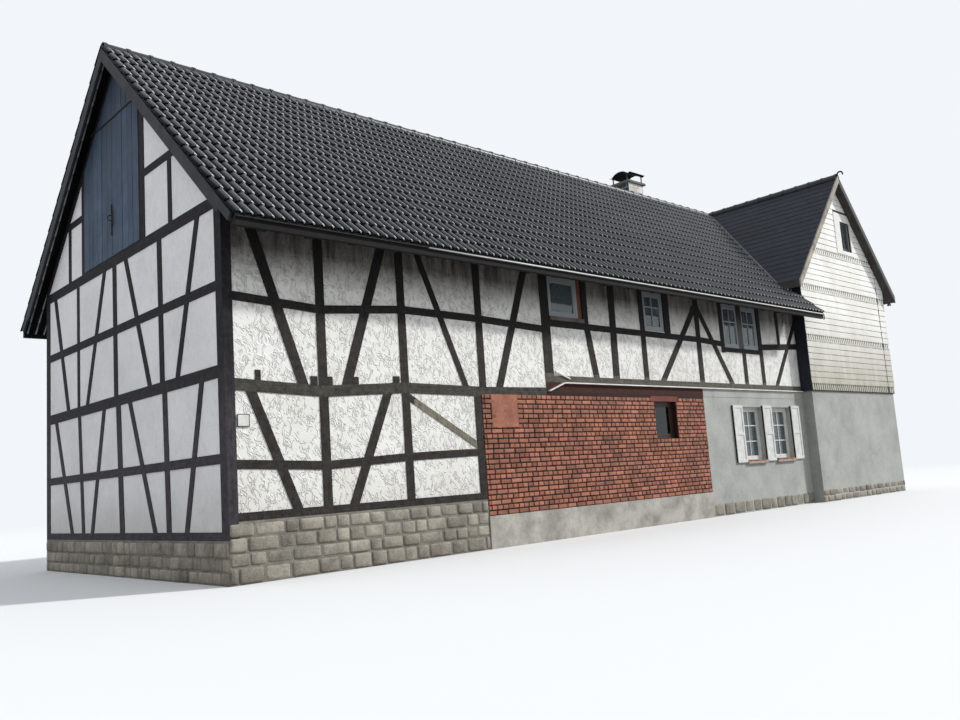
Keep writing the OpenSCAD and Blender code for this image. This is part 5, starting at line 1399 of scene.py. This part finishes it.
# %% Chimney blocks
random.seed(12)
STACK_X, STACK_Y, STACK_FOOT, STACK_ROWS = (14180, 14840), (3695, 4245), 8050, 8
BLOCK_COURSE, BLOCK_STEP, HALF_BOND, FIRST_CUT = 125, 275, 137, 60
stack_wide, stack_deep = STACK_X[1] - STACK_X[0], STACK_Y[1] - STACK_Y[0]
stack = []
for stack_x, stack_y, along, out, long in (
        (STACK_X[0], STACK_Y[0], (1, 0, 0), (0, -1, 0), stack_wide),
        (STACK_X[1], STACK_Y[0], (0, 1, 0), (1, 0, 0), stack_deep),
        (STACK_X[1], STACK_Y[1], (-1, 0, 0), (0, 1, 0), stack_wide),
        (STACK_X[0], STACK_Y[1], (0, -1, 0), (-1, 0, 0), stack_deep)):
    face = slope_frame(house(stack_x, stack_y, 0), along, out)
    cuts = []
    for row in range(STACK_ROWS):
        bottom = STACK_FOOT + row * BLOCK_COURSE
        ends = course_cuts(0, long, BLOCK_STEP, HALF_BOND * (row % 2) + FIRST_CUT)
        cuts += [(a, b, bottom, bottom + BLOCK_COURSE) for a, b in ends]
    cast = block((0, 0, -0.02), (0.25, 0.11, 0), 0.005)
    stack.append(lay_to_cuts(cast, (250, 110), face, cuts, 10, proud=7, shake=1))
wear(stack.pop(), "chimney_blocks_left", block_dark_face)
wear(join(stack), "chimney_blocks", block_cast)

# %% Number plate, swan neck, finial and eave end
plate = bar_between((166, -9, 2010), (324, 6, 2160), 3)
screws = []
for x, z in ((180, 2024), (310, 2024), (180, 2146), (310, 2146)):
    bpy.ops.mesh.primitive_uv_sphere_add(segments=8, ring_count=5, radius=0.004, location=house(x, -9, z))
    screws.append(settle(bpy.context.object))
wear(join([plate, *screws]), "house_plate", plate_enamel)
rim = [bar_between(low, high, 2) for low, high in (
    ((158, -12, 2002), (332, 6, 2012)), ((158, -12, 2158), (332, 6, 2168)),
    ((158, -12, 2002), (168, 6, 2168)), ((322, -12, 2002), (332, 6, 2168)))]
wear(join(rim), "house_plate_rim", lead_dressed)

swan = spun_hook(house(20560, -400, 5230), 0.10, 0.055, (0, 1, 0), (1, 0, 1), 110, 8)
curl_centre = house(WING_RIDGE_X, WING_VERGE_FRONT - 95, RIDGE_Z + 25)
finial = spun_hook(curl_centre, 0.075, 0.045, (1, 0, 0), (0, 1, -0.2), -215, 12)
eave_iron = spun_hook(house(15500, -760, 4500), 0.07, 0.02, (0, 1, 0), (0, 0, 1), -170, 8)
wear(join([swan, eave_iron]), "eave_irons", iron_black)
wear(finial, "ridge_finial", caps_cast)

# %% [markdown]
# ## Floor, sky and sun
# The photograph's sun stands to the right of the front, so the gable lies in soft shade and the eave
# throws its shadow on the top of the walls. One broad sun lamp repeats that, and an even pale sky fills
# the shade. The floor is a pale disc that fades out, so the house keeps its shadow on a plain ground.

# %% Light and ground
SUN_STRENGTH, SUN_SPREAD, SUN_RUNS = 3.05, math.radians(4), (-0.671, 0.487, -0.559)
FLOOR_RADIUS, FADE_FROM, FADE_TO = 70, 16.0, 50.0

bpy.ops.object.light_add(type="SUN")
sun = bpy.context.object
sun.name = "soft_sun"
sun.data.energy, sun.data.angle = SUN_STRENGTH, SUN_SPREAD
sun.rotation_euler = Vector(SUN_RUNS).to_track_quat("-Z", "Y").to_euler()

world = bpy.context.scene.world or bpy.data.worlds.new("pale_sky")
bpy.context.scene.world = world
world.use_nodes = True
sky = world.node_tree
sky.nodes.clear()
sky_rays = add(sky, "ShaderNodeLightPath", {}).outputs
seen = sky_rays["Is Camera Ray"]
for other in ("Is Glossy Ray", "Is Transmission Ray"):
    seen = add(sky, "ShaderNodeMath", {0: seen, 1: sky_rays[other]}, operation="MAXIMUM").outputs[0]
fill = add(sky, "ShaderNodeBackground", {"Color": "#e2e7ef", "Strength": 0.95})
backdrop = add(sky, "ShaderNodeBackground", {"Color": "#f2f6fa", "Strength": 1.0})
either = add(sky, "ShaderNodeMixShader", {0: seen, 1: fill.outputs[0], 2: backdrop.outputs[0]})
add(sky, "ShaderNodeOutputWorld", {"Surface": either.outputs[0]})

bpy.ops.mesh.primitive_circle_add(vertices=64, radius=FLOOR_RADIUS, fill_type="NGON", location=(0, 0, -0.002))
ground = bpy.context.object
ground.name = "studio_floor"
settle(ground)
floor_pale, tree, shader, place = start_finish("studio_floor_pale", 0.9)
bounced = add(tree, "ShaderNodeLightPath", {}).outputs["Is Diffuse Ray"]
pale = add(tree, "ShaderNodeMix", {0: bounced, 6: "#e2e2e0", 7: "#93938f"}, data_type="RGBA").outputs[2]
tree.links.new(pale, shader.inputs["Base Color"])
distance = add(tree, "ShaderNodeVectorMath", {0: place}, operation="LENGTH").outputs["Value"]
fade = add(tree, "ShaderNodeMapRange", {"Value": distance, "From Min": FADE_FROM, "From Max": FADE_TO})
see_through = add(tree, "ShaderNodeBsdfTransparent", {})
blend = add(tree, "ShaderNodeMixShader", {0: fade.outputs[0], 1: shader.outputs[0], 2: see_through.outputs[0]})
tree.links.new(blend.outputs[0], tree.nodes["Material Output"].inputs["Surface"])
ground.data.materials.append(floor_pale)
ground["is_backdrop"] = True
bpy.context.scene.view_settings.view_transform = "Standard"

# %% [markdown]
# ## The box of the dressed house
# The box of all that is shown, without the floor, is measured. The dressed house may stand only
# slightly proud of the CAD model.

# %% Measure the dressed house
low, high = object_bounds()
